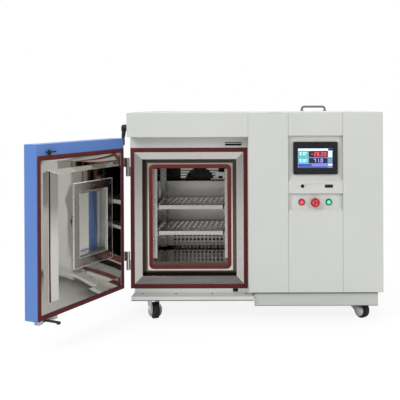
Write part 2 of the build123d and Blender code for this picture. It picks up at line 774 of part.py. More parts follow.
def ports():
    flange = rod_y(LAN_X, -PORT_T, 0, PORT_Z, LAN_R)
    barrel = rod_y(LAN_X, 0, PORT_L, PORT_Z, LAN_BODY_R)
    w, h, depth = LAN_SOCKET
    lan = flange + barrel - box(LAN_X - w / 2, LAN_X + w / 2, -PORT_T - 1, depth,
                                PORT_Z - h / 2, PORT_Z + h / 2)
    half_w, half_h = USB_BODY_W / 2, USB_BODY_H / 2
    plate = box(USB_X - USB_W / 2, USB_X + USB_W / 2, -PORT_T, 0,
                PORT_Z - USB_H / 2, PORT_Z + USB_H / 2)
    body = box(USB_X - half_w, USB_X + half_w, 0, PORT_L, PORT_Z - half_h, PORT_Z + half_h)
    w, h, depth = USB_SOCKET
    usb = plate + body - box(USB_X - w / 2, USB_X + w / 2, -PORT_T - 1, depth,
                             PORT_Z - h / 2, PORT_Z + h / 2)
    for side in (-1, 1):
        x = USB_X + side * (USB_W / 2 - USB_SCREW_IN)
        usb += rod_y(x, -PORT_T - 1, -PORT_T, PORT_Z, USB_SCREW_R)
    return Compound(children=[lan, usb])


def button_collars():
    collars = []
    for x in BUTTON_XS:
        y0 = REC2_D - COLLAR_H
        nut_y = REC2_D + SHEET
        collar = rod_y(x, y0, REC2_D, BUTTON_Z, COLLAR_R)
        collar += rod_y(x, REC2_D, REC2_D + BARREL_L, BUTTON_Z, BARREL_R)
        collar += rod_y(x, nut_y, nut_y + NUT_T, BUTTON_Z, NUT_R)
        collar -= rod_y(x, y0 - 1, REC2_D - CUP_FLOOR, BUTTON_Z, COLLAR_CUP_R)
        collar -= rod_y(x, y0, REC2_D + BARREL_L + 1, BUTTON_Z, BARREL_BORE_R)
        collars.append(collar)
    return Compound(children=collars)


def lens_button(x):
    y1 = REC2_D - CUP_FLOOR - LENS_TRAVEL - SLIDE_GAP
    y0 = y1 - LENS_H
    head = rod_y(x, y0, y1, BUTTON_Z, LENS_R)
    head = fillet(head.edges().group_by(Axis.Y)[0], LENS_ROUND)
    return head + rod_y(x, y1, STEM_END, BUTTON_Z, BARREL_BORE_R - RUN_FIT)


def estop_button():
    x = BUTTON_XS[1]
    y1 = REC2_D - COLLAR_H - ESTOP_STANDS
    y0 = y1 - ESTOP_H
    cap = rod_y(x, y0, y1, BUTTON_Z, ESTOP_R)
    cap = fillet(cap.edges().group_by(Axis.Y)[0], ESTOP_ROUND)
    neck_end = REC2_D - CUP_FLOOR - ESTOP_TRAVEL - SLIDE_GAP
    neck = rod_y(x, y1, neck_end, BUTTON_Z, LENS_R)
    return cap + neck + rod_y(x, neck_end, STEM_END, BUTTON_Z, BARREL_BORE_R - RUN_FIT)


def rear_panel():
    x0 = CHAMBER_W + REAR_MARGIN
    x1 = CAB_W - REAR_MARGIN
    panel = box(x0, x1, CAB_D - SHEET, CAB_D, CAB_BOTTOM + REAR_MARGIN, CAB_TOP - REAR_MARGIN)
    step = (x1 - x0) / REAR_VENT_COLS
    for col in range(REAR_VENT_COLS):
        x = x0 + (col + 0.5) * step
        for i in range(VENT_ROWS):
            z = VENT_Z + REAR_VENT_RISE + i * VENT_PITCH
            panel -= box(x - REAR_VENT_W / 2, x + REAR_VENT_W / 2, CAB_D - SHEET - 1, CAB_D + 1,
                         z, z + VENT_H)
    return panel


def power_inlet():
    flange_r, flange_t = INLET_FLANGE
    flange = rod_y(INLET_X, CAB_D, CAB_D + flange_t, INLET_Z, flange_r)
    body = rod_y(INLET_X, CAB_D + flange_t, CAB_D + INLET_L, INLET_Z, INLET_R)
    return flange + body - rod_y(INLET_X, CAB_D + 2 * flange_t, CAB_D + INLET_L + 1, INLET_Z,
                                 INLET_BORE_R)


def refrigeration():
    x, y, z0 = COMPRESSOR_X, COMPRESSOR_Y, CAB_BOTTOM + SHEET
    foot_w, foot_t = COMPRESSOR_FOOT
    half = foot_w / 2
    foot = box(x - half, x + half, y - half, y + half, z0, z0 + foot_t)
    can = rod_z(x, y, z0 + foot_t, z0 + foot_t + COMPRESSOR_H, COMPRESSOR_R)
    can = fillet(can.edges().group_by(Axis.Z)[-1], COMPRESSOR_ROUND)
    depth, length, height = CONDENSER
    x1 = CAB_W - SHEET - CONDENSER_GAP
    coil_x = x1 - depth / 2
    tubes = [rod_z(coil_x, tube_y, z0, z0 + height, PIPE_R) for tube_y in CONDENSER_TUBES]
    fins = []
    step = (height - FIN_T) / (CONDENSER_FINS - 1)
    for i in range(CONDENSER_FINS):
        z = z0 + i * step
        fins.append(box(x1 - depth, x1, VENT_Y - length / 2, VENT_Y + length / 2,
                        z, z + FIN_T))
    pipe = rod_x(x, coil_x, y, z0 + PIPE_RISE, PIPE_R)
    return fuse([can, foot, pipe] + tubes + fins)


def lifting_handle():
    x0 = BOW_X - BOW_W / 2 + BOW_R
    x1 = BOW_X + BOW_W / 2 - BOW_R
    top = CAB_TOP + BOW_H - BOW_R
    path = FilletPolyline((x0, BOW_Y, CAB_TOP), (x0, BOW_Y, top), (x1, BOW_Y, top),
                          (x1, BOW_Y, CAB_TOP), radius=BOW_BEND)
    bow = sweep(Plane(origin=path @ 0, z_dir=path % 0) * Circle(BOW_R), path=path)
    for x in (x0, x1):
        bow += rod_z(x, BOW_Y, CAB_TOP, CAB_TOP + BOW_FOOT_H, BOW_FOOT_R)
    return bow


# Base and castors

def castor_places():
    for i, x in enumerate(BASE_XS):
        for j, y in enumerate(CASTOR_YS):
            yield ("left", "right")[i], ("front", "rear")[j], x, y, CASTOR_TURNS[j][i]


def base_frame():
    rails = []
    for x in BASE_XS:
        rails.append(box(x - RAIL_BASE_W / 2, x + RAIL_BASE_W / 2, *RAIL_BASE_Y,
                         BASE_Z, CAB_BOTTOM))
    for y in CROSS_YS:
        rails.append(box(BASE_XS[0] + RAIL_BASE_W / 2, BASE_XS[1] - RAIL_BASE_W / 2,
                         y - CROSS_W / 2, y + CROSS_W / 2, BASE_Z, CAB_BOTTOM))
    catch_y = HOOK_PIVOT_Y + HOOK_REACH - CATCH_FROM_TIP
    half = CATCH_W / 2
    rails.append(box(HOOK_X - half, HOOK_X + half, catch_y - CATCH_T, catch_y,
                     BASE_Z, CATCH_TOP))
    rails.append(box(HOOK_X - half, HOOK_X + half, catch_y, CROSS_YS[0] - CROSS_W / 2,
                     BASE_Z, BASE_Z + CATCH_T))
    for _, _, x, y, _ in castor_places():
        rails.append(box(x - PLATE / 2, x + PLATE / 2, y - PLATE / 2, y + PLATE / 2,
                         BASE_Z - PLATE_T, BASE_Z))
    frame = fuse(rails)
    for _, _, x, y, _ in castor_places():
        frame -= rod_z(x, y, BASE_Z - PLATE_T - 1, BASE_Z + STEM_HOLE_UP, STEM_R + RUN_FIT)
    return frame


def skirt():
    x0, x1 = SKIRT_X
    z0, z1 = SKIRT_FRONT_Z
    t = SHEET
    y1 = CAB_D - BACK_INSET
    low = z0 - SKIRT_SIDE_DROP
    lip = box(x0, x1, 0, RECESS + t, z0, z1)
    lip -= box(x0 + t, x1 - t, t, RECESS, z0 + t, z1 - t)
    strip = box(x0, x1, RECESS, RECESS + t, z0 - SKIRT_DROP, CAB_BOTTOM)
    side = box(x0, x0 + t, RECESS, y1, low, CAB_BOTTOM)
    rear = box(x0, x1, y1 - t, y1, low, CAB_BOTTOM)
    slot = box(HOOK_X - HOOK_SLOT_W / 2, HOOK_X + HOOK_SLOT_W / 2, RECESS - 1, RECESS + t + 1,
               *HOOK_SLOT_Z)
    return lip + strip + side + rear - slot


def plinth():
    x0, x1 = PLINTH_X
    y1 = CAB_D - BACK_INSET
    t = SHEET
    front = box(x0, x1, PLINTH_Y, PLINTH_Y + t, PLINTH_Z, CAB_BOTTOM)
    right = box(x1 - t, x1, PLINTH_Y, y1, PLINTH_Z, CAB_BOTTOM)
    rear = box(x0, x1, y1 - t, y1, PLINTH_Z, CAB_BOTTOM)
    left = box(x0, x0 + t, PLINTH_Y, y1, PLINTH_Z, BASE_Z)
    return fuse([front, right, rear, left])


def castor_fork(x, y, turn):
    """The wheel trails towards +X here and is then turned to where the castor stands."""
    z1 = BASE_Z - PLATE_T - HOOD_GAP
    z0 = z1 - HOOD_T
    half = WHEEL_W / 2 + FORK_GAP
    fork = rod_z(0, 0, z0, z1, HOOD_R) + rod_z(0, 0, z1, BASE_Z + STEM_UP, STEM_R)
    outer = half + FORK_T
    fork += rod_y(TRAIL, -outer, outer, WHEEL_R, AXLE_R)
    for side in (-1, 1):
        y0, y1 = sorted((side * half, side * outer))
        leg = [(-FORK_BACK, z1), (FORK_FRONT, z1)]
        leg += [(TRAIL + dx, WHEEL_R + dz) for dx, dz in FORK_ROUND_AXLE]
        leg.append((-FORK_BACK, FORK_REAR_Z))
        outline = make_face(Polyline(*leg, close=True))
        fork += extrude(Plane.XZ.offset(-y1) * outline, amount=y1 - y0)
        y2, y3 = sorted((side * outer, side * (outer + CAP_T)))
        fork += rod_y(TRAIL, y2, y3, WHEEL_R, CAP_R)
    return Pos(x, y, 0) * Rot(0, 0, -turn) * fork


def castor_wheel(x, y, turn):
    wheel = rod_y(TRAIL, -WHEEL_W / 2, WHEEL_W / 2, WHEEL_R, WHEEL_R)
    wheel = fillet(wheel.edges().filter_by(GeomType.CIRCLE), TREAD_ROUND)
    wheel -= rod_y(TRAIL, -WHEEL_W, WHEEL_W, WHEEL_R, AXLE_R + RUN_FIT)
    return Pos(x, y, 0) * Rot(0, 0, -turn) * wheel


# Door, modelled closed

def door_shell():
    x1 = DOOR_W
    t = DOOR_SHEET
    shell = box(0, x1, DOOR_OUT, DOOR_IN, CAB_BOTTOM, DOOR_Z1)
    shell -= box(t, x1 - t, DOOR_OUT + t, DOOR_IN - t, CAB_BOTTOM + t, DOOR_Z1 - t)
    shell += window_box(TUNNEL_T, DOOR_OUT, DOOR_IN - t)
    shell -= window_box(0, DOOR_OUT - 1, DOOR_IN + 1)
    shell -= opening_box(BEZEL_GROW, DOOR_IN - t, DOOR_IN + 1)
    tail = TAIL_W / 2 + 1
    below, above = TAIL_ROOM
    shell -= box(TONGUE_X - tail, TONGUE_X + tail, DOOR_IN - t - 1, DOOR_IN + 1,
                 TONGUE_Z - below, TONGUE_Z + TONGUE_T + TONGUE_LIFT + above)
    return shell - rod_y(LEVER_X, DOOR_OUT - 1, DOOR_OUT + t + 1, LEVER_Z, SPINDLE_R + RUN_FIT)


def door_liner():
    t = PLUG_SHEET
    pan = opening_box(BEZEL_GROW, DOOR_IN - DOOR_SHEET, DOOR_IN)
    plug = taper_block(PLUG_FOOT, DOOR_IN, PLUG_CREST, CREST_Y)
    hollow = taper_block(PLUG_FOOT - t, DOOR_IN - DOOR_SHEET, PLUG_CREST - t, CREST_Y - t)
    body = pan + plug - hollow
    body += window_box(TUNNEL_T, DOOR_IN - DOOR_SHEET, CREST_Y)
    return body - window_box(0, DOOR_OUT, CREST_Y + 1)


def window_frame():
    half_w, half_h = WINDOW_FRAME_W / 2, WINDOW_FRAME_H / 2
    ring = box(WINDOW_X - half_w, WINDOW_X + half_w, CREST_Y, CREST_Y + WINDOW_FRAME_T,
               WINDOW_Z - half_h, WINDOW_Z + half_h)
    return ring - window_box(0, CREST_Y - 1, CREST_Y + WINDOW_FRAME_T + 1)


def window_glass():
    panes = []
    for setback in GLASS_SETBACKS:
        y = DOOR_OUT + setback
        panes.append(window_box(0, y, y + GLASS_T))
    return Compound(children=panes)


def door_seal():
    ring = box(IN_X0 - SEAL_GROW + 1, IN_X1 + SEAL_GROW - 1, DOOR_IN, DOOR_IN + DOOR_SEAL_T,
               CAB_BOTTOM + 1, SEAL_Z1 - 1)
    return ring - opening_box(BEZEL_GROW, DOOR_IN - 1, DOOR_IN + DOOR_SEAL_T + 1)


def hinge_leaves_cabinet():
    pieces = []
    y0, y1 = HINGE_Y + LEAF_BEHIND, HINGE_Y + HINGE_R
    for z in HINGE_ZS:
        z0, z1 = z - HINGE_H / 2, z - KNUCKLE_GAP / 2
        knuckle = rod_z(HINGE_X, HINGE_Y, z0, z1, HINGE_R)
        web = box(HINGE_X, 0, y0, y1, z0, z1)
        leaf = box(-LEAF_T, 0, y0, y1 + LEAF_W, z0, z1)
        pin = rod_z(HINGE_X, HINGE_Y, z0, z + HINGE_H / 2 - PIN_SHORT, HINGE_PIN_R)
        pieces.append(knuckle + web + leaf + pin)
    return Compound(children=pieces)


def hinge_leaves_door():
    pieces = []
    for z in HINGE_ZS:
        z0, z1 = z + KNUCKLE_GAP / 2, z + HINGE_H / 2
        knuckle = rod_z(HINGE_X, HINGE_Y, z0, z1, HINGE_R)
        leaf = box(-LEAF_T, 0, DOOR_IN - LEAF_W, DOOR_IN, z0, z1)
        web = box(HINGE_X - WEB_OUT, -LEAF_T, DOOR_IN - WEB_IN, HINGE_Y, z0, z1)
        bore = rod_z(HINGE_X, HINGE_Y, z0 - 1, z1 - BORE_CAP, HINGE_PIN_R + RUN_FIT)
        pieces.append(knuckle + leaf + web - bore)
    return Compound(children=pieces)


def latch_tongue():
    x0, x1 = TONGUE_X - TONGUE_W / 2, TONGUE_X + TONGUE_W / 2
    z0 = TONGUE_Z
    z1 = z0 + TONGUE_T
    y0 = DOOR_IN + SLIDE_GAP
    reach = DOOR_IN + TONGUE_REACH
    bar = box(x0, x1, y0, reach, z0, z1)
    lip = box(x0, x1, reach - TONGUE_LIP_T, reach, z1, z1 + TONGUE_LIP)
    stem = box(TONGUE_X - STEM_W / 2, TONGUE_X + STEM_W / 2, y0, y0 + STEM_T, z0 - STEM_DROP, z0)
    tail = box(TONGUE_X - TAIL_W / 2, TONGUE_X + TAIL_W / 2, DOOR_IN - TAIL_L, y0,
               z0 - TAIL_DROP, z1)
    return fuse([bar, lip, stem, tail])


def latch_bracket():
    z1 = CAB_BOTTOM
    y0, y1 = LUG_Y
    x0, x1 = HOOK_X - LUG_SPAN / 2, HOOK_X + LUG_SPAN / 2
    bracket = box(x0, x1, y0, y1, z1 - LUG_PLATE_T, z1)
    for a, b in ((x0, x0 + LUG_W), (x1 - LUG_W, x1)):
        bracket += box(a, b, y0, y1, z1 - LUG_DROP, z1)
    return bracket - rod_x(x0 - 1, x1 + 1, HOOK_PIVOT_Y, HOOK_PIVOT_Z, HOOK_PIN_R + RUN_FIT)


def latch_hook():
    x0, x1 = HOOK_X - HOOK_W / 2, HOOK_X + HOOK_W / 2
    y, z = HOOK_PIVOT_Y, HOOK_PIVOT_Z
    half_pin = LUG_SPAN / 2 - HOOK_PIN_IN
    pin = rod_x(HOOK_X - half_pin, HOOK_X + half_pin, y, z, HOOK_PIN_R)
    eye = rod_x(HOOK_X - HOOK_EYE_HALF, HOOK_X + HOOK_EYE_HALF, y, z, HOOK_EYE_R)
    tip = y + HOOK_REACH
    low = z - HOOK_T / 2
    arm = box(x0, x1, y, tip, low, z + HOOK_T / 2)
    beak = box(x0, x1, tip - HOOK_BEAK_L, tip, low - HOOK_BEAK, low)
    return fuse([pin, eye, arm, beak])


def handle_plate():
    plate = box(LEVER_X - ROSE_W / 2, LEVER_X + ROSE_W / 2, DOOR_OUT - ROSE_T, DOOR_OUT,
                LEVER_Z - ROSE_H / 2, LEVER_Z + ROSE_H / 2)
    plate = fillet(plate.edges().filter_by(Axis.Y), ROSE_R)
    return plate - rod_y(LEVER_X, DOOR_OUT - ROSE_T - 1, DOOR_OUT + 1, LEVER_Z, SPINDLE_R + RUN_FIT)


def handle_lever():
    y1 = DOOR_OUT - ROSE_T - SLIDE_GAP
    y0 = y1 - LEVER_STAND
    spindle = rod_y(LEVER_X, y1, DOOR_OUT + SPINDLE_L, LEVER_Z, SPINDLE_R)
    hub = rod_y(LEVER_X, y0, y1, LEVER_Z, LEVER_HUB_R)
    arm = box(LEVER_X - LEVER_L, LEVER_X, y0, y0 + LEVER_T, LEVER_Z - LEVER_W / 2,
              LEVER_Z + LEVER_W / 2)
    end = rod_y(LEVER_X - LEVER_L, y0, y0 + LEVER_T, LEVER_Z, LEVER_W / 2)
    return fuse([spindle, hub, arm, end])


# Door lead

def opened(x, y, z):
    a = math.radians(DOOR_OPEN)
    dx, dy = x - HINGE_X, y - HINGE_Y
    return (HINGE_X + dx * math.cos(a) + dy * math.sin(a),
            HINGE_Y - dx * math.sin(a) + dy * math.cos(a), z)


def cable_gland_cabinet():
    x, y, z = LEAD_TOP
    arm = rod_x(x, 0, y, z + GLAND_H, GLAND_R)
    drop = rod_z(x, y, z, z + GLAND_H, GLAND_R)
    knee = Pos(x, y, z + GLAND_H) * Sphere(GLAND_R)
    return fuse([arm, drop, knee])


def cable_gland_door():
    x, y, z = LEAD_DOOR
    arm = rod_x(x, 0, y, z, DOOR_GLAND_R)
    up = rod_z(x, y, z, LEAD_END_Z, DOOR_GLAND_R)
    knee = Pos(x, y, z) * Sphere(DOOR_GLAND_R)
    return fuse([arm, up, knee])


def door_lead():
    top = LEAD_TOP
    end = opened(LEAD_DOOR[0], LEAD_DOOR[1], LEAD_END_Z)
    path = FilletPolyline(top, (top[0], top[1], top[2] - LEAD_STRAIGHT),
                          (end[0], end[1], end[2] + LEAD_STRAIGHT), end, radius=LEAD_BEND)
    return sweep(Plane(origin=path @ 0, z_dir=path % 0) * Circle(LEAD_R), path=path)


def main():
    os.makedirs("parts", exist_ok=True)
    save("chamber_front", chamber_front())
    save("chamber_shell", chamber_shell())
    save("fascia", fascia())
    save("insulation", insulation())
    save("liner", liner())
    save("thermal_breaker", thermal_breaker())
    save("bezel_frame", bezel_frame())
    save("seal_outer", outer_seal())
    save("seal_inner", inner_seal())
    save("air_baffle", air_baffle())
    save("fan_wheel", fan_wheel())
    save("fan_motor", fan_motor())
    save("heater", heater())
    save("evaporator", evaporator())
    save("climate_sensor", climate_sensor())
    save("shelf_rails", shelf_rails())
    save("shelf_upper", shelf(SHELF_TOPS[0]))
    save("shelf_lower", shelf(SHELF_TOPS[1]))
    save("cable_port", cable_port())
    save("latch_keeper", latch_keeper())
    save("machine_shell", machine_shell())
    save("front_panels", front_panels())
    save("control_panel", control_panel())
    save("screen_bezel", screen_bezel())
    save("screen_glass", screen_glass())
    save("ports", ports())
    save("button_collars", button_collars())
    save("button_red", lens_button(BUTTON_XS[0]))
    save("button_estop", estop_button())
    save("button_green", lens_button(BUTTON_XS[2]))
    save("rear_panel", rear_panel())
    save("power_inlet", power_inlet())
    save("refrigeration", refrigeration())
    save("lifting_handle", lifting_handle())
    save("base_frame", base_frame())
    save("skirt", skirt())
    save("plinth", plinth())
    for side, end, x, y, turn in castor_places():
        save(f"castor_fork_{end}_{side}", castor_fork(x, y, turn))
        save(f"castor_wheel_{end}_{side}", castor_wheel(x, y, turn))
    save_on_door("door_shell", door_shell())
    save_on_door("door_liner", door_liner())
    save_on_door("door_seal", door_seal())
    save_on_door("window_glass", window_glass())
    save_on_door("window_frame", window_frame())
    save("hinge_leaves_cabinet", hinge_leaves_cabinet())
    save_on_door("hinge_leaves_door", hinge_leaves_door())
    save_on_door("latch_tongue", latch_tongue())
    save_on_door("latch_bracket", latch_bracket())
    save_on_door("latch_hook", latch_hook())
    save_on_door("handle_plate", handle_plate())
    save_on_door("handle_lever", handle_lever())
    save("cable_gland_cabinet", cable_gland_cabinet())
    save_on_door("cable_gland_door", cable_gland_door())
    save("door_lead", door_lead())


main()
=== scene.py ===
"""Environmental test chamber with its door open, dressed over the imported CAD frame."""
import math

import bmesh
import bpy
from mathutils import Matrix, Vector


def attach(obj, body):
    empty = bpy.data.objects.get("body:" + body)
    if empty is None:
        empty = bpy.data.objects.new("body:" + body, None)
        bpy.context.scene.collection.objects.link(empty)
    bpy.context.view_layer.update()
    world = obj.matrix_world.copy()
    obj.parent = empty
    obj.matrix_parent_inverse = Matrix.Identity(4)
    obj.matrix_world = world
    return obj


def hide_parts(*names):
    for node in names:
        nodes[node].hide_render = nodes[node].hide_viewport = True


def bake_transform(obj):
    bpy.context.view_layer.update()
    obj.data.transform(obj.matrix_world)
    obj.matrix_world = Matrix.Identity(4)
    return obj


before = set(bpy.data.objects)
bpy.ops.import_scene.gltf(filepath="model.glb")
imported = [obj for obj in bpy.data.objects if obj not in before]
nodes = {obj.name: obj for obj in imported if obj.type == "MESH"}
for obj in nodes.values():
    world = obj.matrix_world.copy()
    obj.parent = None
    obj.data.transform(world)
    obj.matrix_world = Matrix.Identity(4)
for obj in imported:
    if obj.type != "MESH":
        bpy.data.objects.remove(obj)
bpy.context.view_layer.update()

# Places in the corner frame: millimetres, X from the cabinet's left side, Y back, Z up from the floor
CAB_W = 1160.0
CAB_D = 806.0
CAB_TOP = 957.0
CAB_BOTTOM = 142.0
RECESS = 75.0
OPEN_X = 272.0
OPEN_Z = 468.5
OPEN_HALF_W = 175.0
OPEN_HALF_H = 227.5
RIM_Y = 112.0
BAFFLE_Y = 432.0
DOOR_IN = 70.0
CREST_Y = 109.2
HINGE = (-13.5, 83.3)
DOOR_OPEN = 114.4
HINGE_ZS = (705.0, 269.0)
BEZEL_GROW = 78.0
SEAL_TOP = 794.0
WINDOW_X = 260.0
WINDOW_Z = 495.0
WINDOW_HALF_W = 87.5
WINDOW_HALF_H = 135.0

# Behind this depth, in scene metres, the liner's side walls are darkened in streaks as painted shade
LINER_SHADE_Y = -0.275

CABINET = Matrix.Scale(0.001, 4) @ Matrix.Translation((-CAB_W / 2, -CAB_D / 2, 0))
DOOR = (CABINET @ Matrix.Translation((HINGE[0], HINGE[1], 0))
        @ Matrix.Rotation(math.radians(-DOOR_OPEN), 4, "Z")
        @ Matrix.Translation((-HINGE[0], -HINGE[1], 0)))


# Camera

def make_camera():
    yaw, pitch, roll = 0.0059, -0.0037, -0.0040
    right = Vector((math.cos(yaw), math.sin(yaw), 0))
    ahead = Vector((-math.sin(yaw), math.cos(yaw), 0))
    up = Vector((0, 0, 1))
    ahead, up = (math.cos(pitch) * ahead + math.sin(pitch) * up,
                 -math.sin(pitch) * ahead + math.cos(pitch) * up)
    right, up = (math.cos(roll) * right + math.sin(roll) * up,
                 -math.sin(roll) * right + math.cos(roll) * up)
    camera = bpy.data.cameras.new("camera")
    camera.lens = 60.61
    camera.sensor_width = 36.0
    camera.shift_x = -0.18775
    camera.shift_y = -0.23025
    camera.clip_start = 0.05
    obj = bpy.data.objects.new("camera", camera)
    turn = Matrix((right, up, -ahead)).transposed()
    obj.matrix_world = Matrix.Translation((0.111, -3.4458, 0.9885)) @ turn.to_4x4()
    bpy.context.scene.collection.objects.link(obj)
    bpy.context.scene.camera = obj


make_camera()


# Materials

def new_material(name, color, rough, metal=0.0, **sockets):
    mat = bpy.data.materials.new(name)
    mat.use_nodes = True
    shader = mat.node_tree.nodes["Principled BSDF"]
    shader.inputs["Base Color"].default_value = (*color, 1.0)
    shader.inputs["Roughness"].default_value = rough
    shader.inputs["Metallic"].default_value = metal
    for socket, value in sockets.items():
        shader.inputs[socket.replace("_", " ")].default_value = value
    return mat


def noise(mat, scale, stretch=(1.0, 1.0, 1.0), detail=3.0):
    tree = mat.node_tree
    place = tree.nodes.new("ShaderNodeTexCoord")
    mapping = tree.nodes.new("ShaderNodeMapping")
    mapping.inputs["Scale"].default_value = stretch
    texture = tree.nodes.new("ShaderNodeTexNoise")
    texture.inputs["Scale"].default_value = scale
    texture.inputs["Detail"].default_value = detail
    tree.links.new(place.outputs["Object"], mapping.inputs["Vector"])
    tree.links.new(mapping.outputs["Vector"], texture.inputs["Vector"])
    return texture.outputs["Fac"]


def vary_color(mat, source, low, high):
    """The base colour runs from low to high times itself with the source."""
    tree = mat.node_tree
    shader = tree.nodes["Principled BSDF"]
    base = shader.inputs["Base Color"].default_value[:3]
    ramp = tree.nodes.new("ShaderNodeValToRGB")
    ramp.color_ramp.elements[0].position = 0.3
    ramp.color_ramp.elements[1].position = 0.7
    ramp.color_ramp.elements[0].color = (*[min(1.0, c * low) for c in base], 1.0)
    ramp.color_ramp.elements[1].color = (*[min(1.0, c * high) for c in base], 1.0)
    tree.links.new(source, ramp.inputs["Fac"])
    tree.links.new(ramp.outputs["Color"], shader.inputs["Base Color"])


def vary_rough(mat, source, low, high):
    tree = mat.node_tree
    span = tree.nodes.new("ShaderNodeMapRange")
    span.inputs["From Min"].default_value = 0.3
    span.inputs["From Max"].default_value = 0.7
    span.inputs["To Min"].default_value = low
    span.inputs["To Max"].default_value = high
    tree.links.new(source, span.inputs["Value"])
    tree.links.new(span.outputs["Result"], tree.nodes["Principled BSDF"].inputs["Roughness"])


def bump(mat, source, strength, distance):
    tree = mat.node_tree
    shader = tree.nodes["Principled BSDF"]
    node = tree.nodes.new("ShaderNodeBump")
    node.inputs["Strength"].default_value = strength
    node.inputs["Distance"].default_value = distance
    tree.links.new(source, node.inputs["Height"])
    if shader.inputs["Normal"].is_linked:
        tree.links.new(shader.inputs["Normal"].links[0].from_socket, node.inputs["Normal"])
    tree.links.new(node.outputs["Normal"], shader.inputs["Normal"])


def paint(name, color, rough=0.42):
    mat = new_material(name, color, rough)
    vary_color(mat, noise(mat, 2.2, detail=4), 0.975, 1.02)
    vary_rough(mat, noise(mat, 18), rough - 0.05, rough + 0.07)
    bump(mat, noise(mat, 750), 0.10, 0.0002)
    return mat


def polished(name, color, low, high, wave=0.10, wave_scale=4.0):
    """Polished sheet: a slow wave in it bends what it reflects."""
    mat = new_material(name, color, low, 1.0)
    vary_rough(mat, noise(mat, 9, (1, 1, 6)), low, high)
    bump(mat, noise(mat, wave_scale, detail=1), wave, 0.012)
    bump(mat, noise(mat, 420, (0.05, 1, 1)), 0.03, 0.0002)
    return mat


def brushed(name, color, rough, stretch):
    mat = new_material(name, color, rough, 1.0)
    vary_color(mat, noise(mat, 30, stretch), 0.93, 1.05)
    vary_rough(mat, noise(mat, 60, stretch), rough - 0.07, rough + 0.09)
    bump(mat, noise(mat, 300, stretch), 0.08, 0.0002)
    bump(mat, noise(mat, 5, detail=1), 0.05, 0.010)
    return mat


def rubber(name, color, rough=0.5):
    mat = new_material(name, color, rough, Specular_IOR_Level=0.3)
    vary_color(mat, noise(mat, 14), 0.88, 1.12)
    vary_rough(mat, noise(mat, 40), rough - 0.08, rough + 0.1)
    bump(mat, noise(mat, 900), 0.12, 0.0003)
    return mat


def plastic(name, color, rough, grain=1100):
    mat = new_material(name, color, rough)
    vary_color(mat, noise(mat, 25), 0.93, 1.06)
    vary_rough(mat, noise(mat, 70), rough - 0.05, rough + 0.06)
    bump(mat, noise(mat, grain), 0.08, 0.0002)
    return mat


def glow(name, color, strength, base=None, rough=0.3):
    mat = new_material(name, base or color, rough)
    shader = mat.node_tree.nodes["Principled BSDF"]
    shader.inputs["Emission Color"].default_value = (*color, 1.0)
    shader.inputs["Emission Strength"].default_value = strength
    vary_rough(mat, noise(mat, 60), rough - 0.04, rough + 0.05)
    return mat


LINER_COLOR = (0.66, 0.64, 0.60)


def liner_with_painted_shade():
    """Mirror sheet whose side walls deep in the chamber are darkened in upright streaks: painted shade."""
    mat = polished("liner_with_painted_shade", LINER_COLOR, 0.05, 0.12)
    tree = mat.node_tree
    place = tree.nodes.new("ShaderNodeTexCoord")
    normal = tree.nodes.new("ShaderNodeSeparateXYZ")
    tree.links.new(place.outputs["Normal"], normal.inputs["Vector"])
    sideways = tree.nodes.new("ShaderNodeMath")
    sideways.operation = "ABSOLUTE"
    tree.links.new(normal.outputs["X"], sideways.inputs[0])
    spot = tree.nodes.new("ShaderNodeSeparateXYZ")
    tree.links.new(place.outputs["Object"], spot.inputs["Vector"])
    behind = tree.nodes.new("ShaderNodeMath")
    behind.operation = "GREATER_THAN"
    behind.inputs[1].default_value = LINER_SHADE_Y
    tree.links.new(spot.outputs["Y"], behind.inputs[0])
    shade_mask = tree.nodes.new("ShaderNodeMath")
    shade_mask.operation = "MULTIPLY"
    tree.links.new(sideways.outputs["Value"], shade_mask.inputs[0])
    tree.links.new(behind.outputs["Value"], shade_mask.inputs[1])
    ramp = tree.nodes.new("ShaderNodeValToRGB")
    ramp.color_ramp.elements[0].position = 0.42
    ramp.color_ramp.elements[0].color = (0.030, 0.032, 0.038, 1.0)
    ramp.color_ramp.elements[1].position = 0.72
    ramp.color_ramp.elements[1].color = (0.26, 0.27, 0.31, 1.0)
    tree.links.new(noise(mat, 9, (1, 9, 0.7), 4), ramp.inputs["Fac"])
    # Painted shade: the dark streaks replace the sheet's colour on the side walls behind the depth
    mix = tree.nodes.new("ShaderNodeMix")
    mix.data_type = "RGBA"
    mix.inputs["A"].default_value = (*LINER_COLOR, 1.0)
    tree.links.new(shade_mask.outputs["Value"], mix.inputs["Factor"])
    tree.links.new(ramp.outputs["Color"], mix.inputs["B"])
    tree.links.new(mix.outputs["Result"], tree.nodes["Principled BSDF"].inputs["Base Color"])
    return mat


body_grey = paint("body_grey", (0.655, 0.668, 0.640))
# The skirt's paint is the body paint made lighter: painted light on its ledge, which the lamps leave in
# shade
skirt_lit_grey = paint("skirt_lit_grey", (0.700, 0.715, 0.690))
plinth_grey = paint("plinth_grey", (0.560, 0.580, 0.560))
# Near black on the base frame is painted shade under the skirt lip
base_frame_shade = paint("base_frame_shade", (0.060, 0.062, 0.065), 0.55)
door_blue = paint("door_blue", (0.115, 0.245, 0.620), 0.36)
shaded_liner_mirror = liner_with_painted_shade()
door_mirror = polished("door_mirror", (0.64, 0.62, 0.58), 0.03, 0.07, 0.22, 5.0)
steel_across = brushed("steel_across", (0.62, 0.60, 0.57), 0.24, (0.04, 1, 1))
steel_fine = brushed("steel_fine", (0.60, 0.58, 0.55), 0.28, (1, 1, 1))
frame_steel = polished("frame_steel", (0.62, 0.61, 0.585), 0.20, 0.27, 0.04, 3.0)
frame_satin = polished("frame_satin", (0.58, 0.535, 0.515), 0.10, 0.16, 0.06, 4.0)
edge_steel = polished("edge_steel", (0.90, 0.90, 0.88), 0.25, 0.35, 0.02)
channel_steel = polished("channel_steel", (0.115, 0.085, 0.070), 0.12, 0.22, 0.12, 6.0)
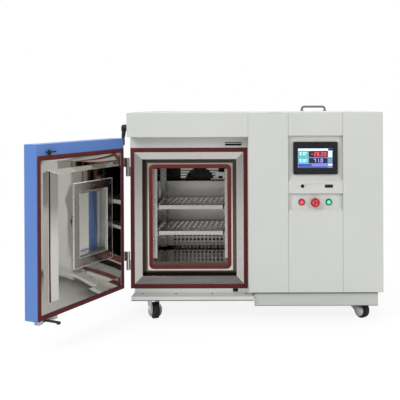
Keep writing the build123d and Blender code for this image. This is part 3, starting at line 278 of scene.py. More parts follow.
grille_steel = brushed("grille_steel", (0.80, 0.78, 0.74), 0.38, (0.04, 1, 1))
fan_dark = polished("fan_dark", (0.050, 0.048, 0.046), 0.35, 0.50)
castor_steel = polished("castor_steel", (0.80, 0.79, 0.77), 0.36, 0.5, 0.05, 60.0)
seam_dark = plastic("seam_dark", (0.030, 0.030, 0.030), 0.6)
# Grey for a dark line on the plinth and for painted shadow lines
line_and_shadow_grey = plastic("line_and_shadow_grey", (0.130, 0.135, 0.130), 0.6)
silicone_dark = rubber("silicone_dark", (0.112, 0.013, 0.012), 0.45)
silicone_bright = rubber("silicone_bright", (0.160, 0.019, 0.014), 0.45)
trim_black = plastic("trim_black", (0.012, 0.012, 0.014), 0.42)
port_cream = plastic("port_cream", (0.62, 0.61, 0.57), 0.5)
foam = rubber("foam", (0.62, 0.54, 0.32), 0.9)
chrome = polished("hinge_chrome", (0.60, 0.60, 0.60), 0.12, 0.22, 0.02)
aluminium = brushed("aluminium", (0.55, 0.55, 0.56), 0.35, (1, 1, 1))
heater_sheath = polished("heater_sheath", (0.20, 0.17, 0.14), 0.3, 0.45)
machine_black = paint("machine_black", (0.014, 0.014, 0.016), 0.35)
tread = rubber("tread", (0.020, 0.020, 0.022), 0.62)
hub_grey = plastic("hub_grey", (0.30, 0.30, 0.30), 0.45)
handle_brown = paint("handle_brown", (0.150, 0.135, 0.122), 0.38)
screen_black = plastic("screen_black", (0.008, 0.008, 0.011), 0.30)
# Near black for the outlet vanes and the duct lining: painted shade inside the air outlet
outlet_shade_dark = plastic("outlet_shade_dark", (0.014, 0.013, 0.012), 0.38)
screw_dark = polished("screw_dark", (0.16, 0.15, 0.14), 0.25, 0.4, 0.02)


def pane_material():
    mat = new_material("pane", (0.90, 0.895, 0.86), 0.02, Transmission_Weight=1.0, IOR=1.3)
    vary_rough(mat, noise(mat, 12), 0.0, 0.04)
    return mat


pane = pane_material()

NODE_MATERIALS = {
    "chamber_front": body_grey, "chamber_shell": body_grey, "fascia": body_grey,
    "machine_shell": body_grey,
    "front_panels": body_grey, "control_panel": body_grey, "rear_panel": body_grey,
    "skirt": skirt_lit_grey, "plinth": plinth_grey, "base_frame": base_frame_shade,
    "door_shell": door_blue, "door_liner": door_mirror, "window_frame": frame_satin,
    "window_glass": pane, "liner": shaded_liner_mirror, "bezel_frame": frame_steel,
    "air_baffle": steel_across, "shelf_rails": steel_fine, "shelf_upper": steel_across,
    "shelf_lower": steel_across, "climate_sensor": steel_fine, "latch_bracket": chrome,
    "thermal_breaker": channel_steel, "insulation": foam, "fan_wheel": fan_dark,
    "heater": heater_sheath, "evaporator": aluminium, "fan_motor": machine_black,
    "refrigeration": machine_black, "hinge_leaves_cabinet": chrome, "hinge_leaves_door": chrome,
    "latch_keeper": trim_black, "latch_tongue": trim_black, "latch_hook": trim_black,
    "ports": trim_black, "cable_gland_cabinet": trim_black, "cable_gland_door": trim_black,
    "power_inlet": trim_black, "door_lead": trim_black, "handle_lever": trim_black,
    "handle_plate": trim_black, "seal_outer": silicone_dark, "seal_inner": silicone_bright,
    "door_seal": silicone_dark, "screen_bezel": screen_black, "screen_glass": screen_black,
    "button_collars": chrome, "lifting_handle": handle_brown, "cable_port": port_cream,
    "button_red": glow("lens_red", (0.75, 0.03, 0.04), 0.5, rough=0.2),
    "button_green": glow("lens_green", (0.03, 0.50, 0.22), 0.5, rough=0.2),
    "button_estop": plastic("estop_red", (0.56, 0.020, 0.024), 0.32),
}
for end in ("front", "rear"):
    for side in ("left", "right"):
        NODE_MATERIALS[f"castor_fork_{end}_{side}"] = castor_steel
        NODE_MATERIALS[f"castor_wheel_{end}_{side}"] = tread
for node_name, node_obj in nodes.items():
    for material_slot in node_obj.material_slots:
        material_slot.material = NODE_MATERIALS[node_name]


# Mesh tools

def finish_mesh(name, bm, body, material, place=CABINET, sharp=35.0):
    mesh = bpy.data.meshes.new(name)
    bm.transform(place)
    bmesh.ops.recalc_face_normals(bm, faces=bm.faces)
    bm.to_mesh(mesh)
    bm.free()
    mesh.shade_smooth()
    mesh.set_sharp_from_angle(angle=math.radians(sharp))
    mesh.materials.append(material)
    obj = bpy.data.objects.new(name, mesh)
    bpy.context.scene.collection.objects.link(obj)
    if body:
        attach(obj, body)
    return obj


def add_box(bm, x0, x1, y0, y1, z0, z1, round_by=0.0, segments=2):
    made = bmesh.ops.create_cube(bm, size=1.0)["verts"]
    for v in made:
        v.co = Vector((x0 + (v.co.x + 0.5) * (x1 - x0), y0 + (v.co.y + 0.5) * (y1 - y0),
                       z0 + (v.co.z + 0.5) * (z1 - z0)))
    if round_by:
        edges = list({e for v in made for e in v.link_edges})
        bmesh.ops.bevel(bm, geom=edges, offset=round_by, segments=segments, profile=0.5,
                        affect="EDGES")


def axis_frame(direction):
    ahead = Vector(direction).normalized()
    side = ahead.orthogonal().normalized()
    return side, ahead.cross(side), ahead


def add_lathe(bm, origin, direction, profile, segments=40):
    """Turns (radius, height) pairs about a line through origin."""
    side, other, ahead = axis_frame(direction)
    origin = Vector(origin)
    rings = []
    for radius, height in profile:
        if radius < 1e-6:
            rings.append([bm.verts.new(origin + ahead * height)])
            continue
        ring = []
        for i in range(segments):
            a = 2 * math.pi * i / segments
            ring.append(bm.verts.new(origin + ahead * height
                                     + (side * math.cos(a) + other * math.sin(a)) * radius))
        rings.append(ring)
    for low, high in zip(rings, rings[1:]):
        for i in range(segments):
            j = (i + 1) % segments
            if len(low) == 1 and len(high) == 1:
                continue
            if len(low) == 1:
                bm.faces.new((low[0], high[i], high[j]))
            elif len(high) == 1:
                bm.faces.new((low[i], low[j], high[0]))
            else:
                bm.faces.new((low[i], low[j], high[j], high[i]))


def add_tube(bm, points, radius, segments=14, ribs=None):
    """A closed-ended tube along points; ribs gives a radius for each point."""
    points = [Vector(p) for p in points]
    side = (points[1] - points[0]).orthogonal().normalized()
    rings = []
    for i, point in enumerate(points):
        ahead = (points[min(i + 1, len(points) - 1)] - points[max(i - 1, 0)]).normalized()
        side = (side - ahead * side.dot(ahead)).normalized()
        other = ahead.cross(side)
        r = ribs[i] if ribs else radius
        rings.append([bm.verts.new(point + (side * math.cos(2 * math.pi * k / segments)
                                            + other * math.sin(2 * math.pi * k / segments)) * r)
                      for k in range(segments)])
    for low, high in zip(rings, rings[1:]):
        for k in range(segments):
            m = (k + 1) % segments
            bm.faces.new((low[k], low[m], high[m], high[k]))
    bm.faces.new(rings[0][::-1])
    bm.faces.new(rings[-1])


def add_frame(bm, x, z, half_w, half_h, section, radius=0.0, arc=10):
    """Sweeps a closed section of (outward, depth) points round a rectangle in a front plane."""
    stations = []
    for sx, sz, first in ((1, 1, 0), (-1, 1, 90), (-1, -1, 180), (1, -1, 270)):
        cx, cz = x + sx * (half_w - radius), z + sz * (half_h - radius)
        if radius:
            for i in range(arc + 1):
                a = math.radians(first + 90 * i / arc)
                out = Vector((math.cos(a), 0, math.sin(a)))
                stations.append((Vector((cx, 0, cz)) + out * radius, out))
        else:
            stations.append((Vector((cx, 0, cz)), Vector((sx, 0, sz))))
    loops = [[bm.verts.new(base + out * w + Vector((0, y, 0))) for w, y in section]
             for base, out in stations]
    count = len(section)
    for a, b in zip(loops, loops[1:] + loops[:1]):
        for k in range(count):
            m = (k + 1) % count
            bm.faces.new((a[k], a[m], b[m], b[k]))


def pillow_section(width, back, front, steps=8):
    """A gasket's section: flat on its back, crowned in front. Outward from 0 to width."""
    points = [(0.0, back), (width, back)]
    for i in range(steps + 1):
        t = 1 - i / steps
        crown = (1 - abs(2 * t - 1) ** 4)
        points.append((width * t, back + (front - back) * (0.25 + 0.75 * crown)))
    return points


def add_screw(bm, place, direction, radius=3.2, height=1.6):
    """A pan head with a hexagon socket."""
    add_lathe(bm, place, direction,
              [(radius, 0), (radius, height * 0.45), (radius * 0.85, height * 0.85),
               (radius * 0.5, height), (radius * 0.45, height), (radius * 0.42, height * 0.3),
               (0, height * 0.3)], segments=18)


def new_mesh():
    return bmesh.new()


# Gaskets

def gasket(name, node, half_w, half_h, x, z, width, back, front, radius, body, material, place):
    bm = new_mesh()
    add_frame(bm, x, z, half_w, half_h, pillow_section(width, back, front), radius)
    piece = finish_mesh(name, bm, body, material, place, 60)
    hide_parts(node)
    return piece


gasket("inner_gasket", "seal_inner", OPEN_HALF_W, OPEN_HALF_H, OPEN_X, OPEN_Z, 18.0,
       RIM_Y, RIM_Y - 2.5, 5.0, "cabinet", silicone_bright, CABINET)

for seal_name, seal_node, inset, y_back, y_front, seal_body, seal_place in (
        ("outer_gasket", "seal_outer", 0.0, RECESS, RECESS - 2.2, "cabinet", CABINET),
        ("door_gasket", "door_seal", 1.0, DOOR_IN, DOOR_IN + 2.4, "door", DOOR)):
    seal_mesh = new_mesh()
    in_w, in_h = OPEN_HALF_W + BEZEL_GROW, OPEN_HALF_H + BEZEL_GROW
    side_w = 18.5 - inset
    top_w = SEAL_TOP - inset - (OPEN_Z + in_h)
    low_w = OPEN_Z - in_h - CAB_BOTTOM - inset
    for x0, x1, z0, z1 in (
            (OPEN_X - in_w - side_w, OPEN_X - in_w, CAB_BOTTOM + inset, SEAL_TOP - inset),
            (OPEN_X + in_w, OPEN_X + in_w + side_w, CAB_BOTTOM + inset, SEAL_TOP - inset),
            (OPEN_X - in_w, OPEN_X + in_w, OPEN_Z + in_h, OPEN_Z + in_h + top_w),
            (OPEN_X - in_w, OPEN_X + in_w, OPEN_Z - in_h - low_w, OPEN_Z - in_h)):
        add_box(seal_mesh, x0, x1, min(y_back, y_front), max(y_back, y_front), z0, z1, 1.0, 3)
    seal_piece = finish_mesh(seal_name, seal_mesh, seal_body, silicone_dark, seal_place, 60)
    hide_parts(seal_node)


# Crisp folded edges on the sheet metal

for sheet_node in ("fascia", "front_panels", "control_panel", "door_shell", "skirt", "plinth",
                   "machine_shell", "chamber_shell", "chamber_front", "bezel_frame", "door_liner",
                   "window_frame", "shelf_upper", "shelf_lower", "lifting_handle"):
    weld = nodes[sheet_node].modifiers.new("weld", "WELD")
    weld.merge_threshold = 0.00002
    fold = nodes[sheet_node].modifiers.new("fold", "BEVEL")
    fold.width = 0.0009
    fold.segments = 2
    fold.limit_method = "ANGLE"
    fold.angle_limit = math.radians(40)
    fold.harden_normals = True


# Air baffle: the perforated plate in steel, and the outlet with its vanes over it, made near black as
# painted shade

def add_grid_plate(bm, xs, zs, holes, y0, y1):
    """A plate cut into cells by xs and zs, without the cells named in holes."""
    corner = {}

    def vert(i, k, y):
        key = (i, k, y)
        if key not in corner:
            corner[key] = bm.verts.new((xs[i], y, zs[k]))
        return corner[key]

    def solid(i, k):
        return 0 <= i < len(xs) - 1 and 0 <= k < len(zs) - 1 and (i, k) not in holes

    for i in range(len(xs) - 1):
        for k in range(len(zs) - 1):
            if not solid(i, k):
                continue
            for y in (y0, y1):
                bm.faces.new((vert(i, k, y), vert(i + 1, k, y),
                              vert(i + 1, k + 1, y), vert(i, k + 1, y)))
            for (di, dk), (a, b) in (((-1, 0), ((0, 0), (0, 1))), ((1, 0), ((1, 0), (1, 1))),
                                     ((0, -1), ((0, 0), (1, 0))), ((0, 1), ((0, 1), (1, 1)))):
                if not solid(i + di, k + dk):
                    bm.faces.new((vert(i + a[0], k + a[1], y0), vert(i + b[0], k + b[1], y0),
                                  vert(i + b[0], k + b[1], y1), vert(i + a[0], k + a[1], y1)))


IN_X0 = OPEN_X - OPEN_HALF_W
IN_X1 = OPEN_X + OPEN_HALF_W
IN_Z0 = OPEN_Z - OPEN_HALF_H
IN_Z1 = OPEN_Z + OPEN_HALF_H
OUTLET_Z = 600.0
plate_xs, plate_zs = [IN_X0], [IN_Z0 + 27]
for col in range(13):
    hole_x = OPEN_X + (col - 6) * 20
    plate_xs += [hole_x - 6, hole_x + 6]
for row in range(4):
    hole_z = IN_Z0 + 38 + row * 20
    plate_zs += [hole_z - 6, hole_z + 6]
plate_xs.append(IN_X1)
plate_zs.append(OUTLET_Z)
plate_holes = {(1 + 2 * col, 1 + 2 * row) for col in range(13) for row in range(4)}
plate_mesh = new_mesh()
add_grid_plate(plate_mesh, plate_xs, plate_zs, plate_holes, BAFFLE_Y, BAFFLE_Y + 2)
baffle_plate = finish_mesh("baffle_plate", plate_mesh, "cabinet", grille_steel)
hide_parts("air_baffle")

vane_mesh = new_mesh()
add_box(vane_mesh, IN_X0, IN_X1, BAFFLE_Y, BAFFLE_Y + 20, OUTLET_Z, OUTLET_Z + 2, 0.4)
for x0 in (IN_X0, IN_X1 - 8):
    add_box(vane_mesh, x0, x0 + 8, BAFFLE_Y, BAFFLE_Y + 2, OUTLET_Z + 2, IN_Z1, 0.3)
for i in range(6):
    vane_z = OUTLET_Z + (i + 1) * (IN_Z1 - OUTLET_Z) / 7
    add_box(vane_mesh, IN_X0 + 0.2, IN_X1 - 0.2, BAFFLE_Y, BAFFLE_Y + 14, vane_z, vane_z + 1.5, 0.3)
outlet_vanes = finish_mesh("outlet_vanes", vane_mesh, "cabinet", outlet_shade_dark)
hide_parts("air_baffle")

# Dark sheets lining the duct behind the vanes: painted shade inside the outlet
duct_shade_mesh = new_mesh()
add_box(duct_shade_mesh, IN_X0 + 0.2, IN_X0 + 1.2, BAFFLE_Y + 21, 493.0, OUTLET_Z, IN_Z1 - 0.5)
add_box(duct_shade_mesh, IN_X1 - 1.2, IN_X1 - 0.2, BAFFLE_Y + 21, 493.0, OUTLET_Z, IN_Z1 - 0.5)
add_box(duct_shade_mesh, IN_X0 + 1.2, IN_X1 - 1.2, BAFFLE_Y + 3, 493.0, IN_Z1 - 1.4, IN_Z1 - 0.4)
for x0, x1, z0, z1 in ((IN_X0 + 1.2, OPEN_X - 100, 500, IN_Z1 - 1.5),
                       (OPEN_X + 100, IN_X1 - 1.2, 500, IN_Z1 - 1.5),
                       (OPEN_X - 100, OPEN_X + 100, 675, IN_Z1 - 1.5)):
    add_box(duct_shade_mesh, x0, x1, 493.6, 494.6, z0, z1)
finish_mesh("duct_shade_lining", duct_shade_mesh, "cabinet", outlet_shade_dark)

sill_mesh = new_mesh()
add_box(sill_mesh, IN_X0 + 0.3, IN_X1 - 0.3, 114.6, 115.0, IN_Z0 + 0.2, IN_Z0 + 14.8)
finish_mesh("sill_strip", sill_mesh, "cabinet", channel_steel)

KEEPER_X, KEEPER_Z = 478.0, 807.95
face_mesh = new_mesh()
add_grid_plate(face_mesh, [KEEPER_X - 42.8, KEEPER_X - 38, KEEPER_X + 38, KEEPER_X + 42.8],
               [KEEPER_Z - 8.05, KEEPER_Z - 4.75, KEEPER_Z + 4.75, KEEPER_Z + 8.05], {(1, 1)},
               73.2, 74.9)
finish_mesh("keeper_face", face_mesh, "cabinet", body_grey)


# Seams between the sheet metal parts, and painted shadow lines under the cabinet's bottom edge and along
# the skirt lip

def strips(name, material, boxes):
    bm = new_mesh()
    for sides in boxes:
        add_box(bm, *sides)
    finish_mesh(name, bm, "cabinet", material)


strips("panel_seams", seam_dark,
       [(731.3, 732.0, -0.12, 0.3, CAB_BOTTOM + 0.5, CAB_TOP - 0.5),
        (978.0, 978.7, -0.12, 0.3, CAB_BOTTOM + 0.5, CAB_TOP - 0.5),
        (550.0, 550.4, -0.12, 0.3, CAB_BOTTOM + 0.5, CAB_TOP - 0.5)])
# Upper strip: painted shadow on the plinth under the cabinet's bottom edge; lower strip: a dark line across
# the plinth
strips("plinth_line_and_shadow", line_and_shadow_grey,
       [(575.5, 1137.5, 19.6, 20.0, 132.0, 141.9), (575.5, 1137.5, 19.7, 20.0, 76.1, 78.6)])
# Painted shade along the lower edge of the skirt lip
strips("skirt_lip_shadow", line_and_shadow_grey, [(18.4, 572.6, -0.2, 0.1, 105.2, 109.0)])


# Screws

def screws(name, body, places, direction, place=CABINET, radius=3.2, height=1.6, material=None):
    bm = new_mesh()
    for spot in places:
        add_screw(bm, spot, direction, radius, height)
    return finish_mesh(name, bm, body, material or chrome, place)


screws("skirt_screws", "cabinet", [(x, 50, 124.5) for x in (59, 213, 380, 536)], (0, 0, 1),
       radius=5.0, material=screw_dark)
screws("rear_panel_screws", "cabinet",
       [(x, CAB_D, z) for x in (576, 860, 1134) for z in (168, 550, 931)], (0, 1, 0))
screws("hinge_screws_cabinet", "cabinet",
       [(-4, y, z - 22 + dz) for z in HINGE_ZS for y in (106, 122) for dz in (-12, 12)],
       (-1, 0, 0), radius=3.6)
screws("hinge_screws_door", "door",
       [(-4, y, z + 22 + dz) for z in HINGE_ZS for y in (40, 56) for dz in (-12, 12)],
       (-1, 0, 0), DOOR, 3.6)
screws("handle_plate_screws", "door", [(455, 1, z) for z in (417, 523)], (0, -1, 0), DOOR, 3.4)
screws("window_frame_screws", "door",
       [(x, CREST_Y + 3, z) for x in (150, 260, 370) for z in (340, 495, 650)
        if not (x == 260 and z == 495)], (0, 1, 0), DOOR, 2.6, 1.2)
screws("port_screws", "cabinet", [(x, 0, 623.5) for x in (778.5, 812.5)], (0, -1, 0),
       radius=1.7, height=1.0, material=screw_dark)


# Window spacers between the panes

spacer_mesh = new_mesh()
for y0, y1 in ((59.2, 78.8), (83.2, 102.8)):
    add_frame(spacer_mesh, WINDOW_X, WINDOW_Z, WINDOW_HALF_W - 7, WINDOW_HALF_H - 7,
              [(0, y0), (6.8, y0), (6.8, y0 + 5), (1.5, y0 + 5), (1.5, y1 - 5), (6.8, y1 - 5),
               (6.8, y1), (0, y1)])
spacers = finish_mesh("window_spacers", spacer_mesh, "door", aluminium, DOOR)

trim_mesh = new_mesh()
add_frame(trim_mesh, WINDOW_X, WINDOW_Z, 124.5, 177.0,
          [(0.3, CREST_Y), (0.3, CREST_Y + 2.0), (-1.0, CREST_Y + 3.5), (-3.0, CREST_Y + 3.5),
           (-3.0, CREST_Y)])
add_frame(trim_mesh, WINDOW_X, WINDOW_Z, WINDOW_HALF_W, WINDOW_HALF_H,
          [(3.0, CREST_Y), (3.0, CREST_Y + 3.5), (1.0, CREST_Y + 3.5), (-0.3, CREST_Y + 2.0),
           (-0.3, CREST_Y)])
finish_mesh("window_trim", trim_mesh, "door", edge_steel, DOOR, 25.0)


# Touch panel picture

SCREEN_FRONT = 9.0


def picture_x(u):
    return 775.0 + (u - 203.0) / 555.0 * 157.0


def picture_z(v):
    return 793.0 - (v - 374.0) / 308.0 * 88.0


def picture_blocks(name, material, blocks, level=0):
    """Flat lit areas on the display, in the picture's own units from its top left corner."""
    bm = new_mesh()
    front = SCREEN_FRONT - 0.10 - 0.08 * level
    for u0, u1, v0, v1 in blocks:
        add_box(bm, picture_x(u0), picture_x(u1), front, SCREEN_FRONT - 0.02,
                picture_z(v1), picture_z(v0))
    piece = finish_mesh(name, bm, "cabinet", material)
    return piece


SEGMENTS = {"0": "abcdef", "1": "bc", "2": "abdeg", "7": "abc", "8": "abcdefg", "9": "abcdfg",
            "-": "g"}


def digit_blocks(text, u, v, width, height, gap, stroke):
    blocks = []
    for symbol in text:
        if symbol == ".":
            blocks.append((u, u + stroke, v + height - stroke, v + height))
            u += stroke + gap * 0.6
            continue
        mid = v + height / 2
        shapes = {"a": (u, u + width, v, v + stroke),
                  "b": (u + width - stroke, u + width, v, mid),
                  "c": (u + width - stroke, u + width, mid, v + height),
                  "d": (u, u + width, v + height - stroke, v + height),
                  "e": (u, u + stroke, mid, v + height), "f": (u, u + stroke, v, mid),
                  "g": (u, u + width, mid - stroke / 2, mid + stroke / 2)}
        blocks += [shapes[letter] for letter in SEGMENTS[symbol]]
        u += width + gap
    return blocks


picture_blocks("picture_ground", glow("picture_blue", (0.13, 0.22, 0.38), 0.65), [(203, 758, 374, 682)])
picture_blocks("picture_header", glow("picture_white", (0.72, 0.80, 0.86), 0.8),
               [(212, 686, 378, 408), (692, 755, 414, 440), (692, 755, 446, 475),
                (692, 755, 481, 512), (692, 755, 622, 644)], 1)
picture_blocks("picture_teal", glow("picture_green", (0.10, 0.40, 0.34), 0.6),
               [(212, 372, 414, 518)], 1)
picture_blocks("picture_cyan", glow("picture_cyan", (0.11, 0.38, 0.54), 0.6),
               [(212, 372, 522, 614)], 1)
picture_blocks("picture_dark", glow("picture_night", (0.010, 0.016, 0.045), 0.5),
               [(380, 680, 418, 512), (380, 680, 526, 610), (692, 755, 378, 406)], 1)
picture_blocks("picture_bar", glow("picture_violet", (0.19, 0.17, 0.48), 0.7),
               [(430, 680, 618, 656), (692, 755, 650, 668)], 1)
picture_blocks("picture_low_bar", glow("picture_navy", (0.04, 0.06, 0.28), 0.7),
               [(212, 426, 622, 656), (212, 680, 660, 678)], 1)
picture_blocks("picture_icons", glow("picture_pale", (0.60, 0.85, 0.90), 0.8),
               [(232, 262, 436, 448), (240, 254, 448, 486), (280, 350, 440, 450),
                (280, 330, 466, 476), (232, 262, 548, 560), (240, 254, 560, 592),
                (280, 350, 552, 562), (280, 330, 576, 586)], 2)
picture_blocks("picture_red_digits", glow("picture_red", (0.80, 0.07, 0.06), 0.9),
               digit_blocks("-28.09", 418, 434, 34, 62, 13, 9), 2)
picture_blocks("picture_violet_digits", glow("picture_lilac", (0.38, 0.33, 0.80), 0.9),
               digit_blocks("71.0", 458, 538, 34, 58, 13, 9), 2)


# Push buttons: collars and lenses

def lathe_piece(name, body, origin, direction, profile, material, place=CABINET, segments=48,
                sharp=35.0):
    bm = new_mesh()
    add_lathe(bm, origin, direction, profile, segments)
    return finish_mesh(name, bm, body, material, place, sharp)


BUTTON_Z = 549.0
STOP_X = 853.0
PANEL_FACE_Y = 16.0
COLLAR = [(11.9, 1.0), (11.9, 5.2), (12.3, 6.0), (13.6, 6.0), (14.5, 5.1), (14.8, 4.0), (14.8, 0.0)]
for button, x, ring_color, lens_color, lamp in (
        ("red", 792.0, (0.13, 0.006, 0.010), (0.42, 0.010, 0.020), (0.95, 0.08, 0.12)),
        ("green", 915.0, (0.002, 0.085, 0.055), (0.004, 0.20, 0.11), (0.10, 0.75, 0.50))):
    ring_piece = lathe_piece(f"{button}_collar", "cabinet", (x, PANEL_FACE_Y, BUTTON_Z), (0, -1, 0), COLLAR,
                             plastic(f"{button}_collar", ring_color, 0.25))
    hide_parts("button_collars")
    skin = lathe_piece(
        f"{button}_lens", f"{button}_button", (x, 11.7, BUTTON_Z), (0, -1, 0),
        [(11.7, 0.0), (11.7, 3.6), (11.2, 4.5), (10.2, 5.0), (8.6, 5.0), (8.2, 4.6)],
        glow(f"{button}_rim", lens_color, 0.25, rough=0.2))
    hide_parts(f"button_{button}")
    lamp_piece = lathe_piece(
        f"{button}_lamp", f"{button}_button", (x, 11.7, BUTTON_Z), (0, -1, 0),
        [(8.2, 0.0), (8.2, 4.6), (6.0, 4.9), (3.0, 5.0), (0.0, 5.0)],
        glow(f"{button}_lamp", lamp, 0.55, rough=0.2))

stop_collar = lathe_piece("stop_collar", "cabinet", (STOP_X, PANEL_FACE_Y, BUTTON_Z), (0, -1, 0), COLLAR,
                          plastic("stop_collar", (0.45, 0.43, 0.41), 0.3))
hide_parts("button_collars")
stop_red = plastic("stop_cap", (0.50, 0.016, 0.022), 0.30)
stop_cap = lathe_piece(
    "stop_cap", "estop_button", (STOP_X, 1.0, BUTTON_Z), (0, -1, 0),
    [(11.7, -9.5), (11.7, 0.0), (19.6, 0.2), (20.8, 1.4), (21.0, 3.0), (21.0, 7.0), (20.6, 8.6),
     (19.4, 10.0), (17.5, 10.8), (15.4, 10.9), (14.6, 10.2), (14.0, 9.7), (5.0, 9.6), (0.0, 9.6)],
    stop_red)
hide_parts("button_estop")
mark_mesh = new_mesh()
for k in range(3):
    start = 0.35 + k * 2 * math.pi / 3
    arc = [Vector((STOP_X + 9.5 * math.cos(start + t * 0.22), -8.75,
                   BUTTON_Z + 9.5 * math.sin(start + t * 0.22))) for t in range(7)]
    add_tube(mark_mesh, arc, 0.8, 8)
stop_marks = finish_mesh("stop_marks", mark_mesh, "estop_button",
                         plastic("mark_pale", (0.72, 0.66, 0.62), 0.4))


# Castors: tread, hub and axle caps

TRAIL = 27.0
AXLE_Z = 37.5
HOOD_Z = 89.9
FORK_SIDE = 19.4
TREAD = [(27.0, -13.0), (33.0, -14.1), (35.6, -13.5), (37.0, -11.7), (37.5, -8.5), (37.5, 8.5),
         (37.0, 11.7), (35.6, 13.5), (33.0, 14.1), (27.0, 13.0)]
HUB = [(5.1, -14.4), (9.5, -14.4), (10.5, -13.4), (11.0, -10.5), (22.0, -9.0), (25.0, -11.0),
       (27.4, -12.5), (27.4, 12.5), (25.0, 11.0), (22.0, 9.0), (11.0, 10.5), (10.5, 13.4),
       (9.5, 14.4), (5.1, 14.4), (5.1, -14.4)]
AXLE_CAP = [(18.0, 0.0), (26.5, 0.0), (27.0, 1.0), (26.6, 2.6), (23.0, 6.2), (17.0, 9.4),
            (9.0, 11.4), (3.5, 11.8), (3.0, 11.2), (0, 11.2)]
HOOD = [(36.0, 0.0), (37.8, 1.2), (38.2, 3.4), (37.0, 5.6), (30.0, 6.4), (22.0, 8.8), (10.0, 9.0)]
for side, x in (("left", 98.0), ("right", 1055.0)):
    for end, y, turn in (("front", 114.0, {"left": 65.0, "right": 50.0}[side]),
                         ("rear", 692.0, {"left": 100.0, "right": 78.0}[side])):
        a = math.radians(turn)
        axle = (math.sin(a), math.cos(a), 0.0)
        centre = Vector((x + TRAIL * math.cos(a), y - TRAIL * math.sin(a), AXLE_Z))
        tyre = lathe_piece(f"castor_tread_{end}_{side}", f"wheel_{end}_{side}", centre, axle,
                           TREAD, tread, segments=56)
        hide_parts(f"castor_wheel_{end}_{side}")
        hub = lathe_piece(f"castor_hub_{end}_{side}", f"wheel_{end}_{side}", centre, axle,
                          HUB, hub_grey, segments=48)
        cap_mesh = new_mesh()
        for way in (-1, 1):
            outward = Vector(axle) * way
            add_lathe(cap_mesh, centre + outward * FORK_SIDE, outward, AXLE_CAP, 48)
        cap = finish_mesh(f"castor_cap_{end}_{side}", cap_mesh, f"fork_{end}_{side}",
                          castor_steel, sharp=25.0)
        race = lathe_piece(f"castor_race_{end}_{side}", f"fork_{end}_{side}", (x, y, HOOD_Z),
                           (0, 0, -1), HOOD, castor_steel)


# Door lead: a ribbed conduit between its two glands

turn = math.radians(DOOR_OPEN)
LEAD_DOOR = (-10.0, 60.0)
lead_dx, lead_dy = LEAD_DOOR[0] - HINGE[0], LEAD_DOOR[1] - HINGE[1]
lead_end = Vector((HINGE[0] + lead_dx * math.cos(turn) + lead_dy * math.sin(turn),
                   HINGE[1] - lead_dx * math.sin(turn) + lead_dy * math.cos(turn), 832.0))
lead_top = Vector((-36.0, 104.0, 872.0))
STEPS = 60
lead_points, lead_radii = [], []
for i in range(STEPS + 1):
    t = i / STEPS
    ease = t * t * (3 - 2 * t)
    lead_points.append(Vector((lead_top.x + (lead_end.x - lead_top.x) * ease,
                               lead_top.y + (lead_end.y - lead_top.y) * ease,
                               lead_top.z + (lead_end.z - lead_top.z) * t)))
    lead_radii.append(10.6 - 3.6 * t - (0.0 if i % 4 < 2 else 0.9))
lead_mesh = new_mesh()
add_tube(lead_mesh, lead_points, 0.0, 20, lead_radii)
lead = finish_mesh("lead_conduit", lead_mesh, None, trim_black, sharp=60.0)
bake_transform(lead)
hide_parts("door_lead")
gland_mesh = new_mesh()
add_lathe(gland_mesh, lead_top, (0, 0, 1), [(13.4, 1.0), (13.4, 9.0), (12.2, 9.8)], 6)
add_lathe(gland_mesh, (-9.0, 104.0, 890.0), (1, 0, 0), [(12.2, 0.0), (15.0, 0.6), (15.0, 8.9)], 6)
finish_mesh("gland_nuts_cabinet", gland_mesh, "cabinet", trim_black, sharp=25.0)


# Room, lights and floor

def make_world():
    world = bpy.data.worlds.new("world")
    bpy.context.scene.world = world
    world.use_nodes = True
    tree = world.node_tree
    tree.nodes.clear()
    out = tree.nodes.new("ShaderNodeOutputWorld")
    ray = tree.nodes.new("ShaderNodeLightPath")
    place = tree.nodes.new("ShaderNodeTexCoord")
    split = tree.nodes.new("ShaderNodeSeparateXYZ")
    span = tree.nodes.new("ShaderNodeMapRange")
    span.inputs["From Min"].default_value = -0.55
    span.inputs["From Max"].default_value = 0.05
    span.inputs["To Min"].default_value = 0.20
    span.inputs["To Max"].default_value = 0.95
    tree.links.new(place.outputs["Generated"], split.inputs["Vector"])
    tree.links.new(split.outputs["Y"], span.inputs["Value"])
    room = tree.nodes.new("ShaderNodeBackground")
    tree.links.new(span.outputs["Result"], room.inputs["Strength"])
    fill = tree.nodes.new("ShaderNodeBackground")
    fill.inputs["Strength"].default_value = 0.50
    white = tree.nodes.new("ShaderNodeBackground")
    for background in (room, fill, white):
        background.inputs["Color"].default_value = (1.0, 1.0, 1.0, 1.0)
    shiny = tree.nodes.new("ShaderNodeMath")
    shiny.operation = "MAXIMUM"
    tree.links.new(ray.outputs["Is Glossy Ray"], shiny.inputs[0])
    tree.links.new(ray.outputs["Is Transmission Ray"], shiny.inputs[1])
    first = tree.nodes.new("ShaderNodeMixShader")
    second = tree.nodes.new("ShaderNodeMixShader")
    tree.links.new(shiny.outputs["Value"], first.inputs["Fac"])
    tree.links.new(fill.outputs["Background"], first.inputs[1])
    tree.links.new(room.outputs["Background"], first.inputs[2])
    tree.links.new(ray.outputs["Is Camera Ray"], second.inputs["Fac"])
    tree.links.new(first.outputs["Shader"], second.inputs[1])
    tree.links.new(white.outputs["Background"], second.inputs[2])
    tree.links.new(second.outputs["Shader"], out.inputs["Surface"])


def add_light(name, place, target, size, power):
    light = bpy.data.lights.new(name, "AREA")
    light.shape = "DISK"
    light.size = size
    light.energy = power
    obj = bpy.data.objects.new(name, light)
    obj.location = place
    obj.rotation_mode = "QUATERNION"
    obj.rotation_quaternion = (Vector(target) - Vector(place)).to_track_quat("-Z", "Y")
    bpy.context.scene.collection.objects.link(obj)


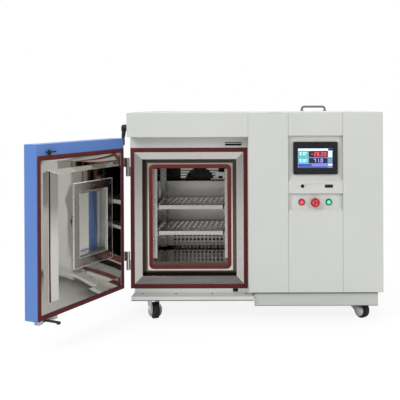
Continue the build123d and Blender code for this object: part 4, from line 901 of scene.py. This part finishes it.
def make_floor():
    """White to the camera, with a light shadow; plain pale to the light that it throws back."""
    mat = bpy.data.materials.new("studio_floor")
    mat.use_nodes = True
    tree = mat.node_tree
    tree.nodes.clear()
    out = tree.nodes.new("ShaderNodeOutputMaterial")
    ray = tree.nodes.new("ShaderNodeLightPath")
    plain = tree.nodes.new("ShaderNodeBsdfDiffuse")
    plain.inputs["Color"].default_value = (0.78, 0.78, 0.78, 1.0)
    shade = tree.nodes.new("ShaderNodeBsdfDiffuse")
    shade.inputs["Color"].default_value = (0.15, 0.15, 0.15, 1.0)
    lift = tree.nodes.new("ShaderNodeEmission")
    lift.inputs["Color"].default_value = (0.88, 0.88, 0.88, 1.0)
    near = tree.nodes.new("ShaderNodeAddShader")
    tree.links.new(shade.outputs["BSDF"], near.inputs[0])
    tree.links.new(lift.outputs["Emission"], near.inputs[1])
    far = tree.nodes.new("ShaderNodeEmission")
    place = tree.nodes.new("ShaderNodeTexCoord")
    length = tree.nodes.new("ShaderNodeVectorMath")
    length.operation = "LENGTH"
    tree.links.new(place.outputs["Object"], length.inputs[0])
    span = tree.nodes.new("ShaderNodeMapRange")
    span.interpolation_type = "SMOOTHSTEP"
    span.inputs["From Min"].default_value = 1.1
    span.inputs["From Max"].default_value = 2.4
    tree.links.new(length.outputs["Value"], span.inputs["Value"])
    seen = tree.nodes.new("ShaderNodeMixShader")
    tree.links.new(span.outputs["Result"], seen.inputs["Fac"])
    tree.links.new(near.outputs["Shader"], seen.inputs[1])
    tree.links.new(far.outputs["Emission"], seen.inputs[2])
    mix = tree.nodes.new("ShaderNodeMixShader")
    tree.links.new(ray.outputs["Is Camera Ray"], mix.inputs["Fac"])
    tree.links.new(plain.outputs["BSDF"], mix.inputs[1])
    tree.links.new(seen.outputs["Shader"], mix.inputs[2])
    tree.links.new(mix.outputs["Shader"], out.inputs["Surface"])
    bm = new_mesh()
    bmesh.ops.create_grid(bm, x_segments=1, y_segments=1, size=30.0)
    floor = finish_mesh("studio_floor", bm, None, mat, Matrix.Identity(4))


make_world()
make_floor()
add_light("key", (-2.2, -3.2, 2.9), (0, 0, 0.5), 1.8, 62)
add_light("fill", (2.6, -3.4, 1.9), (0.1, 0, 0.5), 1.8, 38)
add_light("top", (0.2, 0.4, 3.4), (0, 0, 0.9), 2.2, 40)
bpy.context.scene.view_settings.view_transform = "Standard"
